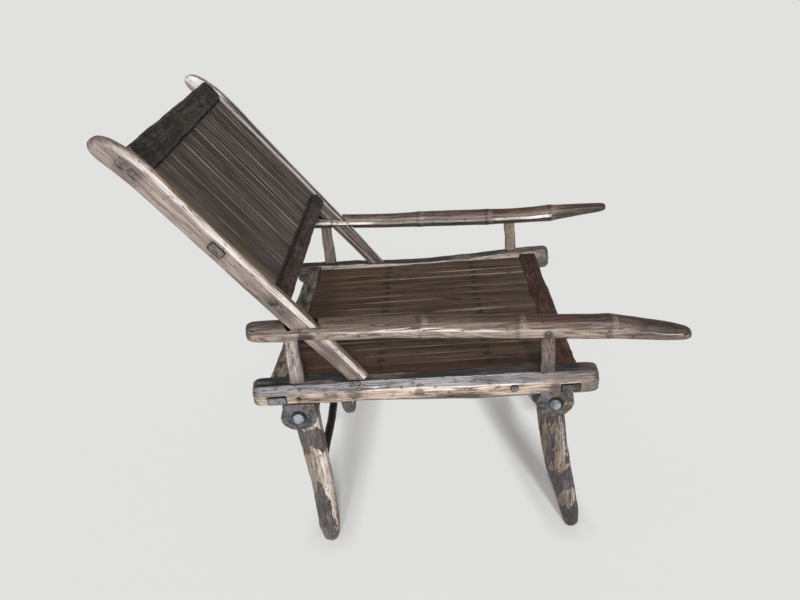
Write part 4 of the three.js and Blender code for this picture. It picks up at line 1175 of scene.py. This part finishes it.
# The legs are poles whose dark skin has split and peeled off in long patches, down to
# the pale wood, and whose feet are whittled to a blunt point.
def peeling_material(name, lit_share, bare_tones, skin_tones, skin_spots, bare_spots, strips):
    """Dark skin over pale wood. Spots are (x, z, reach along x, reach up, strength)."""
    leg_paint, place = start_material(name)
    base, fibre, _, thread = old_cane(
        place, bare_tones, (1, 1, 0.05), fineness=1.1, threads=0.9, cracks=0.9)
    skin = old_cane(place, skin_tones, (1, 1, 0.08), fineness=1.2, threads=0.8)[0]
    patch = noise(place, 26, (1, 1, 0.35), detail=6, roughness=0.6, distortion=0.5)
    rise = place.axis("Z")
    ahead = along(place, (1, 0, 0))
    aside = abs(along(place, (0, 1, 0)))
    cover = patch + noise(place, 75, (1, 1, 0.3), detail=4) * 0.3 - 0.15
    for x, z, reach, tall, strength in skin_spots:
        cover = cover + near(place, (x, 0, z), (reach, 9, tall)) * strength
    for x, z, reach, tall, strength in bare_spots:
        cover = cover - near(place, (x, 0, z), (reach, 9, tall)) * strength
    for towards_front, z, half, strength in strips:
        facing_strip = (ahead * towards_front + aside * 0.62).step(0.82, 0.93)
        cover = cover - facing_strip * band(rise, z, half) * strength
    shaded = (ahead * -0.8 + aside * 0.6).step(0.35, 0.8) * fibre.step(0.36, 0.56)
    base.cover(shaded * 0.75, "64554b")
    lit = (ahead * 0.5 + aside * 0.86).step(0.9, 0.985) * thread.step(0.4, 0.52)
    base.cover(lit * lit_share, "f4efe9")
    base.cover(cover.step(0.5, 0.515), skin)
    rim = cover.step(0.475, 0.5) * cover.step(0.53, 0.51)
    base.cover(rim * 0.75, "211b1a")
    tan = noise(place, 12, (1, 1, 0.3)).step(0.5, 0.62) * cover.step(0.51, 0.5)
    base.cover(tan * 0.45, "9a7c64")
    speck = noise(place, 190, (1, 1, 0.4))
    base.cover(speck.step(0.57, 0.68) * 0.8, "2a221f")
    relief = fibre * 0.6 + cover.step(0.495, 0.515) * 1.2
    finish_surface(base, 0.62 - 0.15 * fibre, relief, 0.002)
    return leg_paint


leg_materials = {
    "rear": peeling_material(
        "rear_leg_peeling_bamboo", 0.6,
        ("685d55", "aea399", "f2ebe4", "332a25"), ("3a3435", "68615f", "8b807a", "1a1617"),
        ((-0.224, 0.266, 0.3, 0.045, 0.13), (-0.214, 0.03, 0.3, 0.14, 0.15),
         (-0.217, 0.15, 0.011, 0.036, 0.12)),
        ((-0.2256, 0.318, 0.3, 0.034, 0.09), (-0.219, 0.195, 0.3, 0.085, 0.15)),
        ((0.78, 0.075, 0.11, 0.2), (0.78, 0.2, 0.06, 0.05)),
    ),
    "front": peeling_material(
        "front_leg_peeling_bamboo", 0.2,
        ("463e38", "766c62", "bdb5ab", "27201d"), ("2e292a", "544d4e", "756b66", "151213"),
        ((0.28, 0.2, 0.6, 0.6, 0.07), (0.286, 0.131, 0.3, 0.034, 0.12),
         (0.308, 0.01, 0.3, 0.06, 0.12)),
        ((0.285, 0.208, 0.014, 0.095, 0.17), (0.301, 0.083, 0.022, 0.046, 0.16)),
        ((-0.78, 0.228, 0.12, 0.15), (0.78, 0.235, 0.07, 0.12)),
    ),
}
leg_feet = {"rear": -0.2116, "front": 0.3114}
leg_length, leg_radius = 0.33, 0.016
stick_material = dark_bar_material(
    "stretcher_stick", ("151313", "2f2a28", "4a4340", "0a0808"), (1, 0.06, 1))
for end in ("rear", "front"):
    for side in ("right", "left"):
        node = f"{end}_leg_{side}"
        leg = from_solid(node, node + "_pole", 0.0018)
        roughen(leg, 0.02, 0.0028, (1, 1, 3))
        roughen(leg, 0.005, 0.0013, (1, 1, 4), detail=4)
        for point in leg.data.vertices:
            low_share = 1 - min(max(point.co.z, 0) / leg_length, 1)
            middle_x = leg_feet[end] + (axle_places[end] - leg_feet[end]) * point.co.z / axle_height
            across = (point.co.x - middle_x) / leg_radius
            if end == "rear":
                point.co.x += 0.0022 * low_share ** 2 * min(across - 0.2, 0)
            else:
                point.co.x += low_share * (0.004 * across + 0.0022) + 0.0012 * min(low_share * 5, 1)
                point.co.y *= 1 - low_share * 0.036
            point.co.z = max(point.co.z, 0)
        fit(leg, leg_materials[end], f"{end}_legs", node)
    stick = from_solid(f"{end}_leg_stretcher", f"{end}_leg_stretcher_stick", 0.0015)
    roughen(stick, 0.016, 0.0018, (1, 3, 1))
    fit(stick, stick_material, f"{end}_legs", f"{end}_leg_stretcher")
